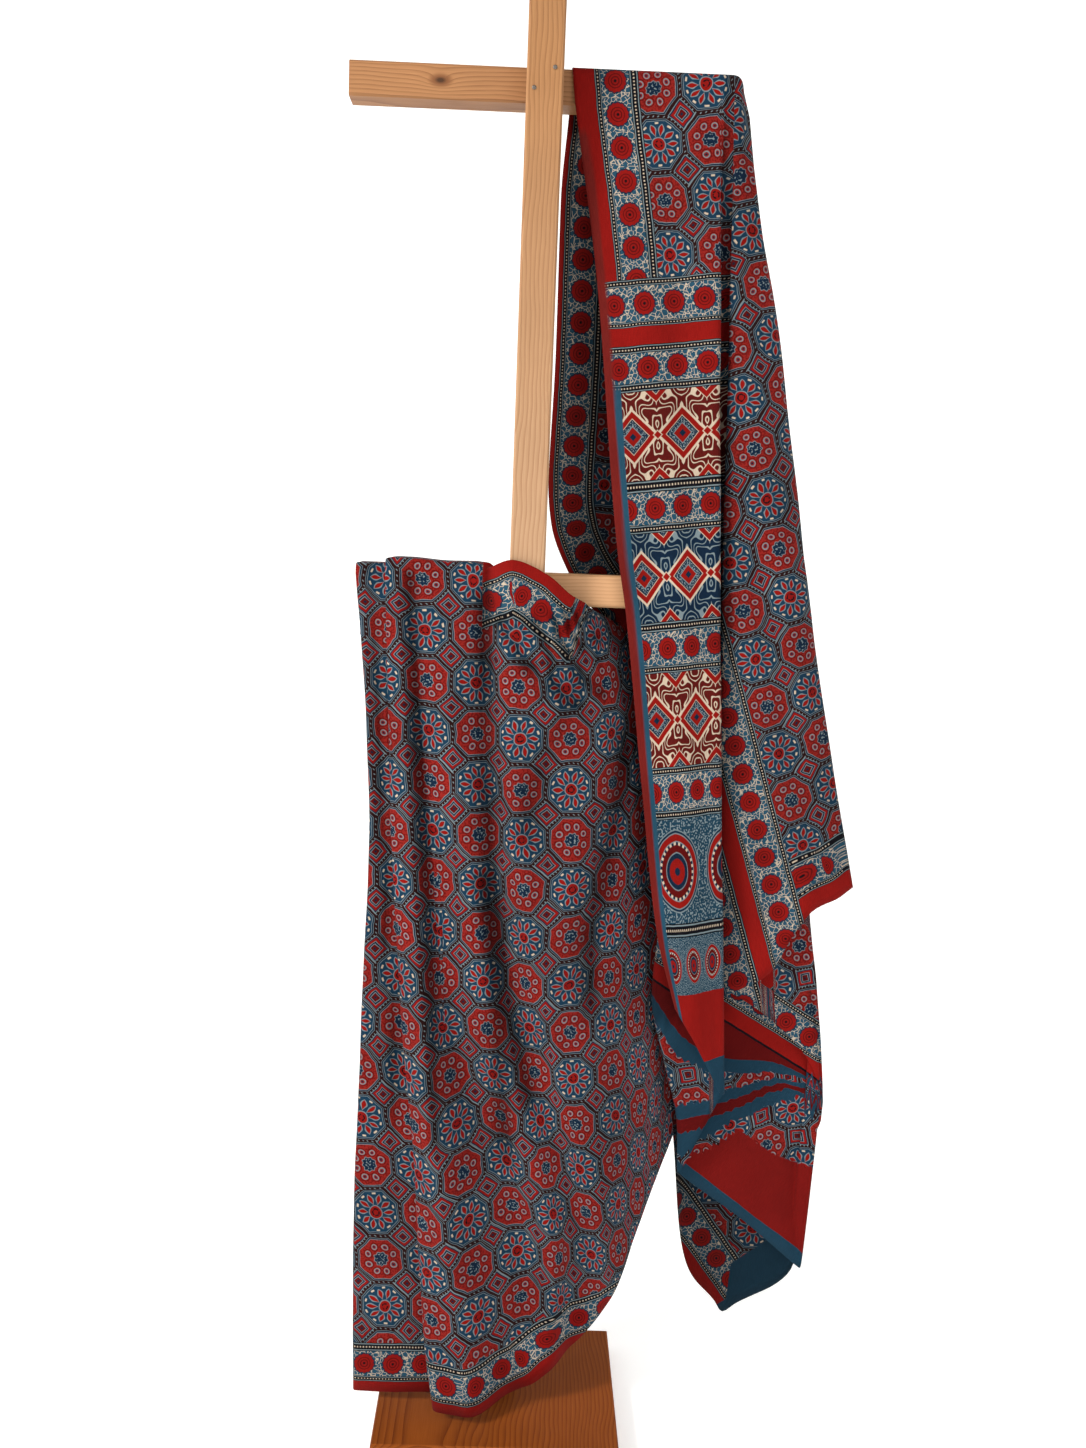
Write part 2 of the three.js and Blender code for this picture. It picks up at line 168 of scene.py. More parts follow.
def hypotenuse(tree, first, second):  # the root of first squared plus second squared
    return calc(tree, "SQRT", plus(tree, times(tree, first, first), times(tree, second, second)))


def blendColour(tree, factor, first, second):  # second where factor is 1
    node = newNode(tree, "ShaderNodeMix", data_type="RGBA")
    for index, value in ((0, factor), (6, first), (7, second)):  # a Mix node's colours are inputs 6 and 7
        feed(tree, node.inputs[index], value)
    return node.outputs[2]


def step(tree, value, edge, soft):  # 0 below edge and 1 above it, rising over a soft width
    node = newNode(tree, "ShaderNodeMath", operation="DIVIDE", use_clamp=True)
    feed(tree, node.inputs[0], minus(tree, value, edge - soft / 2))
    feed(tree, node.inputs[1], soft)
    return node.outputs[0]


def between(tree, value, start, end, soft):  # 1 from start to end: one step less the other
    return minus(tree, step(tree, value, start, soft), step(tree, value, end, soft))


def within(tree, colour, distance, rings, soft):  # each (edge, dye) in turn covers what is nearer
    for edge, name in rings:
        colour = blendColour(tree, step(tree, distance, edge, soft), dye[name], colour)
    return colour


def beyond(tree, colour, distance, rings, soft):  # each (edge, dye) in turn covers what is past its edge
    for edge, name in rings:
        colour = blendColour(tree, step(tree, distance, edge, soft), colour, dye[name])
    return colour


def fraction(tree, value, shift=0.0):  # the place in a repeat, from -0.5 to 0.5
    return minus(tree, calc(tree, "FRACT", plus(tree, value, shift)), 0.5)


def scalloped(tree, radius, angle, lobes):  # radius plus a small sine of lobes times the angle
    return plus(tree, radius, times(tree, calc(tree, "SINE", times(tree, angle, lobes)), 0.012))


def noise(tree, place, scale, detail, output=0):  # output 1 is the colour
    node = newNode(tree, "ShaderNodeTexNoise")
    for key, value in (("Vector", place), ("Scale", scale), ("Detail", detail)):
        feed(tree, node.inputs[key], value)
    return node.outputs[output]


def vector(tree, x, y, z=0.0):
    node = newNode(tree, "ShaderNodeCombineXYZ")
    for socket, value in zip(node.inputs, (x, y, z)):
        feed(tree, socket, value)
    return node.outputs[0]


def newGroup(name, **inputs):  # a node group with named inputs and one colour out
    tree = bpy.data.node_groups.new(name, "ShaderNodeTree")
    for key, kind in inputs.items():
        tree.interface.new_socket(key, in_out="INPUT", socket_type=kind)
    tree.interface.new_socket("Color", in_out="OUTPUT", socket_type=colourKind)
    start, end = newNode(tree, "NodeGroupInput"), newNode(tree, "NodeGroupOutput")
    return tree, [start.outputs[index] for index in range(len(inputs))], end.inputs[0]


def useGroup(tree, made, *values):  # places a group, fed in the order of its inputs
    node = newNode(tree, "ShaderNodeGroup", node_tree=made)
    for socket, value in zip(node.inputs, values):
        feed(tree, socket, value)
    return node.outputs[0]


# Colours of the print, as the dyes look in linear light.
dye = dict(
    red=(0.19, 0.0055, 0.004), tailRed=(0.135, 0.005, 0.004), madder=(0.205, 0.012, 0.009),
    deepRed=(0.08, 0.003, 0.003), salmon=(0.12, 0.01, 0.008), maroon=(0.075, 0.006, 0.005),
    teal=(0.015, 0.055, 0.09), slate=(0.009, 0.033, 0.056), navy=(0.007, 0.028, 0.055),
    indigo=(0.004, 0.013, 0.03), black=(0.003, 0.003, 0.005), brown=(0.016, 0.004, 0.004),
    cream=(0.45, 0.36, 0.27), pale=(0.145, 0.185, 0.2))
numberKind = "NodeSocketFloat"
colourKind = "NodeSocketColor"


# The print's motifs. Lengths in them are shares of one repeat.
def petalledFlower(tree, radius, angle, grain):  # ten petals: a parabola in radius less |sin(5 angle)|
    petal = dict(middle=0.26, sharp=64.0, wide=0.92, pairs=5.0)
    wave = absolute(tree, calc(tree, "SINE", times(tree, angle, petal["pairs"])))
    out = minus(tree, radius, petal["middle"])
    width = minus(tree, petal["wide"], times(tree, times(tree, out, out), petal["sharp"]))
    inside = minus(tree, width, wave)
    colour = blendColour(tree, step(tree, inside, 0.0, 0.1), dye["navy"], dye["pale"])
    colour = beyond(tree, colour, inside, [(0.24, "red")], 0.1)
    dots = times(tree, between(tree, radius, 0.365, 0.4, 0.01), step(tree, wave, 0.9, 0.1))
    colour = blendColour(tree, dots, colour, dye["cream"])
    colour = within(tree, colour, radius, [(0.135, "pale"), (0.118, "red")], 0.012)
    specks = times(tree, between(tree, radius, 0.045, 0.075, 0.01), step(tree, grain, 0.42, 0.1))
    return blendColour(tree, specks, colour, dye["black"])


def ringedFlower(tree, radius, angle, grain):  # eight rings, as the angle folds into a sector, round a heart
    ring = dict(count=8, reach=0.275)
    sector = 2 * math.pi / ring["count"]
    turned = minus(tree, calc(tree, "FLOORED_MODULO", angle, sector), sector / 2)
    alongRay = minus(tree, times(tree, radius, calc(tree, "COSINE", turned)), ring["reach"])
    gap = hypotenuse(tree, alongRay, times(tree, radius, calc(tree, "SINE", turned)))
    fleck = times(tree, step(tree, grain, 0.54, 0.1), 0.6)
    colour = blendColour(tree, fleck, dye["madder"], dye["deepRed"])
    for low, high, name in ((0.078, 0.094, "deepRed"), (0.042, 0.062, "pale")):
        colour = blendColour(tree, between(tree, gap, low, high, 0.012), colour, dye[name])
    colour = within(tree, colour, gap, [(0.02, "indigo")], 0.01)
    heart = scalloped(tree, radius, angle, 9.0)
    colour = within(tree, colour, heart, [(0.145, "pale"), (0.132, "indigo")], 0.012)
    specks = times(tree, step(tree, grain, 0.62, 0.06), calc(tree, "LESS_THAN", heart, 0.11))
    return blendColour(tree, specks, colour, dye["pale"])


def makeLattice():  # octagons on a square lattice, blue and red in turn, with squares at their corners
    tree, (u, v), end = newGroup("octagonLattice", Across=numberKind, Along=numberKind)
    fu, fv = fraction(tree, u), fraction(tree, v)
    absU, absV = absolute(tree, fu), absolute(tree, fv)
    diagonal = times(tree, plus(tree, absU, absV), math.sqrt(0.5))
    octagon = calc(tree, "MAXIMUM", calc(tree, "MAXIMUM", absU, absV), diagonal)
    cell = plus(tree, calc(tree, "FLOOR", u), calc(tree, "FLOOR", v))
    odd = calc(tree, "GREATER_THAN", calc(tree, "FLOORED_MODULO", cell, 2.0), 0.5)
    radius, angle = hypotenuse(tree, fu, fv), calc(tree, "ARCTAN2", fv, fu)
    grain = noise(tree, vector(tree, u, v), 26.0, 0.0)
    colour = blendColour(tree, odd, petalledFlower(tree, radius, angle, grain),
                         ringedFlower(tree, radius, angle, grain))

    # Outlines that the octagons share, from the fill outwards, and the beads between them.
    colour = beyond(tree, colour, octagon, [(0.418, "pale"), (0.428, "indigo")], 0.008)
    colour = beyond(tree, colour, octagon, [(0.452, "pale"), (0.459, "brown")], 0.006)
    beads = step(tree, calc(tree, "SINE", times(tree, plus(tree, u, v), 62.0)), 0.7, 0.3)
    beads = times(tree, beads, step(tree, octagon, 0.488, 0.008))
    colour = blendColour(tree, beads, colour, dye["pale"])

    # The square left between four octagons.
    square = plus(tree, absolute(tree, fraction(tree, u, 0.5)), absolute(tree, fraction(tree, v, 0.5)))
    rings = [(0.268, "pale"), (0.252, "indigo"), (0.22, "red"), (0.158, "pale"), (0.145, "indigo"),
             (0.108, "pale"), (0.092, "deepRed"), (0.03, "indigo")]
    feed(tree, end, within(tree, colour, square, rings, 0.01))
    return tree


def makeRosettes():  # scalloped discs in a row, with flames where cells in angle and radius meet
    tree, (u, v), end = newGroup("rosetteBand", Along=numberKind, Across=numberKind)
    fu = fraction(tree, u)
    radius, angle = hypotenuse(tree, fu, v), calc(tree, "ARCTAN2", v, fu)
    cells = newNode(tree, "ShaderNodeTexVoronoi", feature="DISTANCE_TO_EDGE")
    ray = vector(tree, times(tree, angle, 3.2), times(tree, radius, 7.0), calc(tree, "FLOOR", u))
    feed(tree, cells.inputs["Vector"], ray)
    feed(tree, cells.inputs["Scale"], 1.0)
    flame = minus(tree, 1.0, step(tree, cells.outputs["Distance"], 0.045, 0.05))
    colour = blendColour(tree, flame, dye["teal"], dye["cream"])
    disc = scalloped(tree, radius, angle, 14.0)
    colour = within(tree, colour, disc, [(0.375, "indigo"), (0.335, "red")], 0.02)
    for inner, outer in ((0.1, 0.14), (0.195, 0.225)):
        colour = blendColour(tree, between(tree, radius, inner, outer, 0.015), colour, dye["deepRed"])
    feed(tree, end, within(tree, colour, radius, [(0.045, "black")], 0.02))
    return tree


def makeLines():  # a dotted line between two plain ones; Across runs from 0 to 1, Along in metres
    tree, (along, across), end = newGroup("dottedLines", Along=numberKind, Across=numberKind)
    beads = step(tree, calc(tree, "SINE", times(tree, along, 1500.0)), 0.2, 0.5)
    dotted = blendColour(tree, beads, dye["black"], dye["cream"])
    colour = blendColour(tree, between(tree, across, 0.42, 0.58, 0.04), dye["black"], dotted)
    for low, high in ((0.1, 0.2), (0.8, 0.9)):
        colour = blendColour(tree, between(tree, across, low, high, 0.04), colour, dye["pale"])
    feed(tree, end, colour)
    return tree


def makeDiamonds():  # ringed squares on their corners; the scrolls are a sine bent by noise and mirrored
    tree, (u, v, ground, scroll), end = newGroup("diamondBand", Along=numberKind, Across=numberKind,
                                                 Ground=colourKind, Scroll=colourKind)
    absU, absV = absolute(tree, fraction(tree, u)), absolute(tree, v)
    bend = times(tree, minus(tree, noise(tree, vector(tree, absU, absV), 3.4, 0.0), 0.5), 16.0)
    curl = calc(tree, "SINE", plus(tree, bend, times(tree, minus(tree, absV, absU), 15.0)))
    colour = blendColour(tree, step(tree, absolute(tree, plus(tree, curl, -0.1)), 0.36, 0.14), scroll, ground)
    shifted = absolute(tree, fraction(tree, u, 0.5))
    arms = absolute(tree, minus(tree, shifted, absV))
    colour = within(tree, colour, arms, [(0.03, "cream")], 0.01)
    halves = plus(tree, shifted, minus(tree, 1.07, absV))
    nearest = calc(tree, "MINIMUM", plus(tree, absU, absV), halves)
    outer = [(0.49, "cream"), (0.472, "red"), (0.34, "cream"), (0.325, "indigo")]
    colour = within(tree, colour, nearest, outer, 0.012)
    specks = step(tree, noise(tree, vector(tree, u, v), 38.0, 0.0), 0.56, 0.06)
    specks = times(tree, specks, calc(tree, "LESS_THAN", nearest, 0.3))
    colour = blendColour(tree, specks, colour, dye["pale"])
    colour = within(tree, colour, nearest, [(0.2, "pale"), (0.18, "red"), (0.07, "indigo")], 0.012)
    crossing = plus(tree, shifted, absV)
    feed(tree, end, within(tree, colour, crossing, [(0.1, "cream"), (0.078, "red")], 0.015))
    return tree


def makeArches():  # ringed oval medallions on a speckled ground; Across runs from -0.5 to 0.5
    tree, (u, v), end = newGroup("archBand", Along=numberKind, Across=numberKind)
    fu, tall = fraction(tree, u), times(tree, v, 0.9)
    radius = plus(tree, hypotenuse(tree, fu, tall), times(tree, absolute(tree, fu), 0.12))
    angle = calc(tree, "ARCTAN2", tall, fu)
    specks = step(tree, noise(tree, vector(tree, u, v), 34.0, 0.0), 0.58, 0.05)
    colour = blendColour(tree, specks, dye["slate"], dye["pale"])
    rim = [(0.48, "pale"), (0.466, "indigo"), (0.44, "pale"), (0.428, "red"), (0.35, "pale")]
    colour = within(tree, colour, radius, rim, 0.01)
    beads = step(tree, calc(tree, "SINE", times(tree, angle, 26.0)), 0.1, 0.6)
    dotted = blendColour(tree, beads, dye["indigo"], dye["cream"])
    colour = blendColour(tree, step(tree, radius, 0.338, 0.01), dotted, colour)
    heart = [(0.305, "deepRed"), (0.22, "pale"), (0.208, "indigo"), (0.15, "red"), (0.05, "indigo")]
    feed(tree, end, within(tree, colour, radius, heart, 0.01))
    return tree


lattice = makeLattice()
rosettes = makeRosettes()
lines = makeLines()
diamonds = makeDiamonds()
arches = makeArches()

# Repeats of the motifs in metres.
motif = dict(octagon=0.0655, rosette=0.0395, diamond=0.068, medallion=0.105, smallArch=0.05)

# What a strip may hold, each with its number on the plan; the plain ones are named for their dye.
kinds = dict(body=0, red=1, lines=2, rosettes=3, maroon=4, blue=5, arches=6, smallArches=7, slate=8,
             deepRed=9, black=10)
plainKinds = ("red", "slate", "deepRed", "black")

# The selvedge border, from the edge inwards, in metres.
borderPlan = [(0.0, "red"), (0.026, "lines"), (0.034, "rosettes"), (0.069, "lines"), (0.081, "body")]

# The printed end, from where the body stops, in metres.
endPlan = [
    (-0.009, "lines"), (0.0, "rosettes"), (0.042, "lines"), (0.049, "red"), (0.071, "lines"),
    (0.081, "rosettes"), (0.117, "lines"), (0.128, "maroon"), (0.238, "lines"), (0.254, "rosettes"),
    (0.294, "lines"), (0.305, "blue"), (0.418, "lines"), (0.431, "rosettes"), (0.474, "lines"),
    (0.484, "maroon"), (0.606, "lines"), (0.617, "rosettes"), (0.663, "lines"), (0.675, "arches"),
    (0.814, "lines"), (0.833, "smallArches"), (0.91, "red"), (1.003, "slate"), (1.6, "body")]

# The loose tail, across its slanted border, in metres from the middle of the rosettes.
tailPlan = [(-0.3, "deepRed"), (-0.047, "black"), (-0.044, "red"), (-0.024, "lines"), (-0.017, "rosettes"),
            (0.017, "lines"), (0.026, "body")]

# Where each plan begins on one shared scale, so that a single chain of steps reads all three.
planShift = dict(border=0.0, ends=1.0, tail=4.0)
shiftedPlans = [(planShift["border"], borderPlan), (planShift["ends"], endPlan),
                (planShift["tail"], tailPlan)]


def readPlan(tree, place):  # adds up the changes at each strip's edge: its start, and its kind plus its width
    rows = []
    for shift, plan in shiftedPlans:
        for (edge, kind), (after, _) in zip(plan, plan[1:] + [(plan[-1][0] + 0.5, "body")]):
            rows.append((edge + shift, kinds[kind] + after - edge))
    start, code, lastStart, lastCode = 0.0, 0.0, 0.0, 0.0
    for edge, rowCode in rows:
        past = calc(tree, "GREATER_THAN", place, edge)
        start = calc(tree, "MULTIPLY_ADD", past, edge - lastStart, start)
        code = calc(tree, "MULTIPLY_ADD", past, rowCode - lastCode, code)
        lastStart, lastCode = edge, rowCode
    return start, calc(tree, "FLOOR", code), calc(tree, "MAXIMUM", calc(tree, "FRACT", code), 0.001)


def isKind(tree, kindNumber, name):
    return calc(tree, "COMPARE", kindNumber, float(kinds[name]), 0.4)


def pick(tree, choice, first, second):  # first where choice is 0, second where it is 1
    return calc(tree, "MULTIPLY_ADD", minus(tree, second, first), choice, first)


def paintStrips(tree, colour, place, along):  # the strips of all three plans over the body's print
    start, kindNumber, width = readPlan(tree, place)
    share = calc(tree, "DIVIDE", minus(tree, place, start), width)
    tall = times(tree, minus(tree, share, 0.5), width)
    colour = blendColour(tree, isKind(tree, kindNumber, "lines"), colour, useGroup(tree, lines, along, share))
    pitch = 1 / motif["rosette"]
    paint = useGroup(tree, rosettes, times(tree, along, pitch), times(tree, tall, pitch))
    colour = blendColour(tree, isKind(tree, kindNumber, "rosettes"), colour, paint)
    blue = isKind(tree, kindNumber, "blue")
    either = plus(tree, blue, isKind(tree, kindNumber, "maroon"))
    pitch = 1 / motif["diamond"]
    paint = useGroup(tree, diamonds, times(tree, along, pitch), times(tree, tall, pitch),
                     blendColour(tree, blue, dye["maroon"], dye["indigo"]),
                     blendColour(tree, blue, dye["cream"], dye["pale"]))
    colour = blendColour(tree, either, colour, paint)
    small = isKind(tree, kindNumber, "smallArches")
    either = plus(tree, small, isKind(tree, kindNumber, "arches"))
    pitch = pick(tree, small, 1 / motif["medallion"], 1 / motif["smallArch"])
    paint = useGroup(tree, arches, times(tree, along, pitch), times(tree, tall, pitch))
    colour = blendColour(tree, either, colour, paint)
    for name in plainKinds:
        colour = blendColour(tree, isKind(tree, kindNumber, name), colour, dye[name])
    return colour


# What the sheet's corners carry for the print: four places in metres and two plain numbers, the second being
# painted shade.
placeNames = ("bodyPlace", "edgePlace", "endPlace", "tailPlace")
markNames = ("isTail", "paintedShade")

# How the cotton takes the print: wander of the blocks in metres, and the spread of the dye and the yarn.
cotton = dict(wander=0.006, sway=0.05, dyeLeast=0.62, dyeSpread=0.6, yarnLeast=0.86, yarnSpread=0.28,
              rough=0.78, roughSpread=0.16, specular=0.04, sheen=0.015, threads=5200.0)


def readPlace(tree, name):  # the three parts of one place, then the whole vector
    attribute = newNode(tree, "ShaderNodeAttribute", attribute_name=name)
    parts = newNode(tree, "ShaderNodeSeparateXYZ")
    tree.links.new(attribute.outputs["Vector"], parts.inputs[0])
    return (*parts.outputs, attribute.outputs["Vector"])


def readMark(tree, name):
    return newNode(tree, "ShaderNodeAttribute", attribute_name=name).outputs["Fac"]


def paintTail(tree, colour, fanned, nearEnd, sway, isTail):  # stripes that fan out, and the end strip
    level = plus(tree, fanned, sway)
    stripes = ((0.0, 1.0, "slate"), (2.0, 3.0, "slate"), (3.0, 4.0, "deepRed"), (4.0, 5.0, "slate"),
               (6.0, 20.0, "tailRed"))
    for low, high, name in stripes:
        stripe = times(tree, between(tree, level, low, high, 0.04), isTail)
        colour = blendColour(tree, stripe, colour, dye[name])
    nearEnd = calc(tree, "MULTIPLY_ADD", sway, 0.03, nearEnd)
    strip = times(tree, between(tree, nearEnd, -0.05, 0.018, 0.0012), isTail)
    return blendColour(tree, times(tree, strip, step(tree, level, 4.5, 0.1)), colour, dye["slate"])


def paintPrint(tree, body):  # body, strips, side strip, rolled edge and tail, each laid over the last
    across, along, _, flat = body
    edge, edgeRun, rolled, _ = readPlace(tree, "edgePlace")
    depth, run, _, _ = readPlace(tree, "endPlace")
    slope, fanned, nearEnd, _ = readPlace(tree, "tailPlace")
    isTail = readMark(tree, "isTail")

    # The blocks never land quite true, so the print wanders by a millimetre or so.
    offsets = newNode(tree, "ShaderNodeSeparateColor")
    tree.links.new(noise(tree, flat, 45.0, 1.0, output=1), offsets.inputs[0])
    shiftU, shiftV, sway = (times(tree, minus(tree, socket, 0.5), most) for socket, most in zip(
        offsets.outputs, (cotton["wander"], cotton["wander"], cotton["sway"])))
    u = calc(tree, "DIVIDE", plus(tree, across, shiftU), motif["octagon"])
    v = calc(tree, "DIVIDE", plus(tree, along, shiftV), motif["octagon"])
    colour = useGroup(tree, lattice, u, v)

    # One place on the shared scale: the tail's border before the printed end, and that before the selvedge.
    onEnd = calc(tree, "GREATER_THAN", depth, endPlan[0][0])
    onSlope = times(tree, isTail, times(tree, calc(tree, "LESS_THAN", fanned, 1.0),
                                        calc(tree, "LESS_THAN", slope, tailPlan[-1][0])))
    place = pick(tree, onEnd, edge, plus(tree, depth, planShift["ends"]))
    place = pick(tree, onSlope, place, plus(tree, slope, planShift["tail"]))
    place = calc(tree, "MULTIPLY_ADD", shiftU, 0.3, place)
    stripRun = pick(tree, calc(tree, "MAXIMUM", onEnd, onSlope), edgeRun, run)
    stripRun = calc(tree, "MULTIPLY_ADD", shiftV, 0.4, stripRun)
    colour = paintStrips(tree, colour, place, stripRun)
    sideStrip = times(tree, between(tree, edge, -0.01, 0.021, 0.001), step(tree, depth, 0.12, 0.01))
    colour = blendColour(tree, sideStrip, colour, dye["teal"])
    colour = blendColour(tree, rolled, colour, dye["salmon"])
    return paintTail(tree, colour, fanned, nearEnd, sway, isTail)


def addBump(tree, shader, height, strength, distance):
    bump = newNode(tree, "ShaderNodeBump")
    for key, value in (("Strength", strength), ("Distance", distance), ("Height", height)):
        feed(tree, bump.inputs[key], value)
    tree.links.new(bump.outputs[0], shader.inputs["Normal"])


def makeCloth():
    material = bpy.data.materials.new("printedCotton")
    material.use_nodes = True
    tree = material.node_tree
    shader = tree.nodes["Principled BSDF"]
    body = readPlace(tree, "bodyPlace")
    across, along, _, flat = body

    # Uneven dye, a little bleeding, the yarn's own streaks, and painted shade carried by the sheet's corners.
    patchy = noise(tree, flat, 9.0, 2.0)
    yarn = newNode(tree, "ShaderNodeMapping")
    feed(tree, yarn.inputs["Vector"], flat)
    yarn.inputs["Scale"].default_value = (1.0, 0.12, 1.0)
    streaks = noise(tree, yarn.outputs[0], 900.0, 0.0)
    value = plus(tree, cotton["dyeLeast"], times(tree, patchy, cotton["dyeSpread"]))
    value = times(tree, value, plus(tree, cotton["yarnLeast"], times(tree, streaks, cotton["yarnSpread"])))
    # painted shade: darker on the back, beside the panel's fold and in the skirt's troughs
    value = times(tree, value, readMark(tree, "paintedShade"))
    tone = newNode(tree, "ShaderNodeHueSaturation")
    feed(tree, tone.inputs["Value"], value)
    feed(tree, tone.inputs["Color"], paintPrint(tree, body))
    tree.links.new(tone.outputs[0], shader.inputs["Base Color"])
    rough = plus(tree, cotton["rough"], times(tree, patchy, cotton["roughSpread"]))
    for key, setting in (("Roughness", rough), ("Specular IOR Level", cotton["specular"]),
                         ("Sheen Weight", cotton["sheen"]), ("Sheen Roughness", 0.5)):
        feed(tree, shader.inputs[key], setting)

    # Plain weave and small crumples as bump, with heights in metres.
    warp, weft = (calc(tree, "SINE", times(tree, run, cotton["threads"])) for run in (across, along))
    weave = times(tree, times(tree, warp, weft), 0.00006)
    crumple = times(tree, noise(tree, flat, 28.0, 1.0), 0.0024)
    height = plus(tree, weave, plus(tree, crumple, times(tree, streaks, 0.0002)))
    addBump(tree, shader, height, 0.8, 1.0)
    return material


# Pine: growth rings in shares of a metre, fibres, and how far the tone drifts over a board.
pine = dict(ringsPerMetre=190.0, lateWood=2.6, ringShare=0.55, fibreShare=0.5, heartLine=(0.06, 0.035),
            swell=0.012, toneLeast=0.86, toneSpread=0.28)


def makeWood(name, grainAxis, light, dark, gloss, shine=0.22, paleBelow=None, knot=None):
    # Rings are distances from a heart line beside the board, bent by slow noise and swollen round a knot.
    material = bpy.data.materials.new(name)
    material.use_nodes = True
    tree = material.node_tree
    shader = tree.nodes["Principled BSDF"]
    place = newNode(tree, "ShaderNodeTexCoord").outputs["Object"]
    parts = newNode(tree, "ShaderNodeSeparateXYZ")
    tree.links.new(place, parts.inputs[0])
    order = {"X": (1, 2, 0), "Y": (0, 2, 1), "Z": (0, 1, 2)}[grainAxis]
    first, second, length = (parts.outputs[i] for i in order)
    slow = vector(tree, times(tree, first, 3.0), times(tree, second, 3.0), times(tree, length, 1.4))
    drift = times(tree, noise(tree, slow, 2.2, 3.0), 0.05)
    out = plus(tree, plus(tree, first, drift), pine["heartLine"][0])
    side = plus(tree, times(tree, drift, 0.6), plus(tree, second, pine["heartLine"][1]))
    rings = hypotenuse(tree, out, side)
    if knot:
        knotX = calc(tree, "DIVIDE", minus(tree, parts.outputs[0], knot["x"]), knot["radius"] * 1.8)
        knotZ = calc(tree, "DIVIDE", minus(tree, parts.outputs[2], knot["z"]), knot["radius"])
        knotGap = hypotenuse(tree, knotX, knotZ)
        swell = calc(tree, "DIVIDE", pine["swell"], plus(tree, 1.0, times(tree, knotGap, knotGap)))
        rings = plus(tree, rings, swell)
    ring = calc(tree, "FRACT", times(tree, rings, pine["ringsPerMetre"]))
    late = calc(tree, "POWER", ring, pine["lateWood"])
    fibre = vector(tree, times(tree, first, 60.0), times(tree, second, 60.0), times(tree, length, 1.5))
    streak = noise(tree, fibre, 14.0, 4.0)
    mixed = plus(tree, times(tree, late, pine["ringShare"]), times(tree, streak, pine["fibreShare"]))
    colour = blendColour(tree, mixed, light, dark)
    if paleBelow:
        fade = newNode(tree, "ShaderNodeMapRange")
        feed(tree, fade.inputs["Value"], parts.outputs[2])
        for key, value in zip(("From Min", "From Max"), paleBelow["heights"]):
            fade.inputs[key].default_value = value
        pale = blendColour(tree, mixed, paleBelow["light"], paleBelow["dark"])
        colour = blendColour(tree, fade.outputs[0], pale, colour)
    if knot:
        heart = tuple(part * 0.3 for part in dark)
        for size, soft, tint in ((0.8, 0.5, dark), (0.35, 0.3, heart)):
            colour = blendColour(tree, minus(tree, 1.0, step(tree, knotGap, size, soft)), colour, tint)
    blotch = noise(tree, place, 7.0, 3.0)
    tone = newNode(tree, "ShaderNodeHueSaturation")
    feed(tree, tone.inputs["Value"], plus(tree, pine["toneLeast"], times(tree, blotch, pine["toneSpread"])))
    feed(tree, tone.inputs["Color"], colour)
    tree.links.new(tone.outputs[0], shader.inputs["Base Color"])
    feed(tree, shader.inputs["Roughness"], plus(tree, gloss, times(tree, streak, 0.2)))
    feed(tree, shader.inputs["Specular IOR Level"], shine)
    addBump(tree, shader, mixed, 0.35, 0.001)
    return material


def makeSteel():
    material = bpy.data.materials.new("screwSteel")
    material.use_nodes = True
    tree = material.node_tree
    shader = tree.nodes["Principled BSDF"]
    spots = noise(tree, newNode(tree, "ShaderNodeTexCoord").outputs["Object"], 900.0, 3.0)
    feed(tree, shader.inputs["Base Color"], blendColour(tree, spots, (0.1, 0.075, 0.06), (0.22, 0.2, 0.18)))
    feed(tree, shader.inputs["Metallic"], 0.9)
    feed(tree, shader.inputs["Roughness"], plus(tree, 0.35, times(tree, spots, 0.3)))
    return material


# The woods' colours in linear light, the heights in metres between which the post turns pale, and the knot.
woods = dict(
    post=dict(name="postPine", grainAxis="Z", light=(0.37, 0.185, 0.074), dark=(0.18, 0.07, 0.024),
              gloss=0.38,
              paleBelow=dict(heights=(1.15, 1.75), light=(0.46, 0.29, 0.17), dark=(0.27, 0.135, 0.062))),
    upper_arm=dict(name="upperPine", grainAxis="X", light=(0.38, 0.185, 0.077), dark=(0.17, 0.065, 0.022),
                   gloss=0.4, knot=dict(x=-0.129, z=1.759, radius=0.009)),
    lower_arm=dict(name="lowerPine", grainAxis="X", light=(0.62, 0.35, 0.18), dark=(0.42, 0.21, 0.09),
                   gloss=0.42),
    base=dict(name="baseBoard", grainAxis="Y", light=(0.27, 0.068, 0.009), dark=(0.085, 0.016, 0.002),
              gloss=0.5, shine=0.06))


def dressStand():  # each node of the stand keeps its mesh and takes a better material
    finishes = {node: makeWood(**settings) for node, settings in woods.items()}
    finishes["screw_1"] = finishes["screw_2"] = makeSteel()
    for node, material in finishes.items():
        slots = bpy.data.objects[node].data.materials
        slots.clear()
        slots.append(material)


dressStand()
print("stand dressed")

# Sizes that the cloth takes from the stand, in millimetres.
stand = dict(armMiddle=(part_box("upper_arm")[0][1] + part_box("upper_arm")[1][1]) / 2 / mm,
             armHalf=(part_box("upper_arm")[1][2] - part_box("upper_arm")[0][2]) / 2 / mm,
             upperTop=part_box("upper_arm")[1][2] / mm, lowerTop=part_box("lower_arm")[1][2] / mm,
             postHalf=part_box("post")[1][0] / mm)

# The sheet: its thickness and gaps in millimetres, and how finely its grids are divided.
cloth = dict(thick=0.9, rest=0.95, postSide=4.5, postGap=3, frontLimit=20, fine=5, downCells=88,
             wrapCells=12, overCells=16, seamRows=11, lastOver=23)

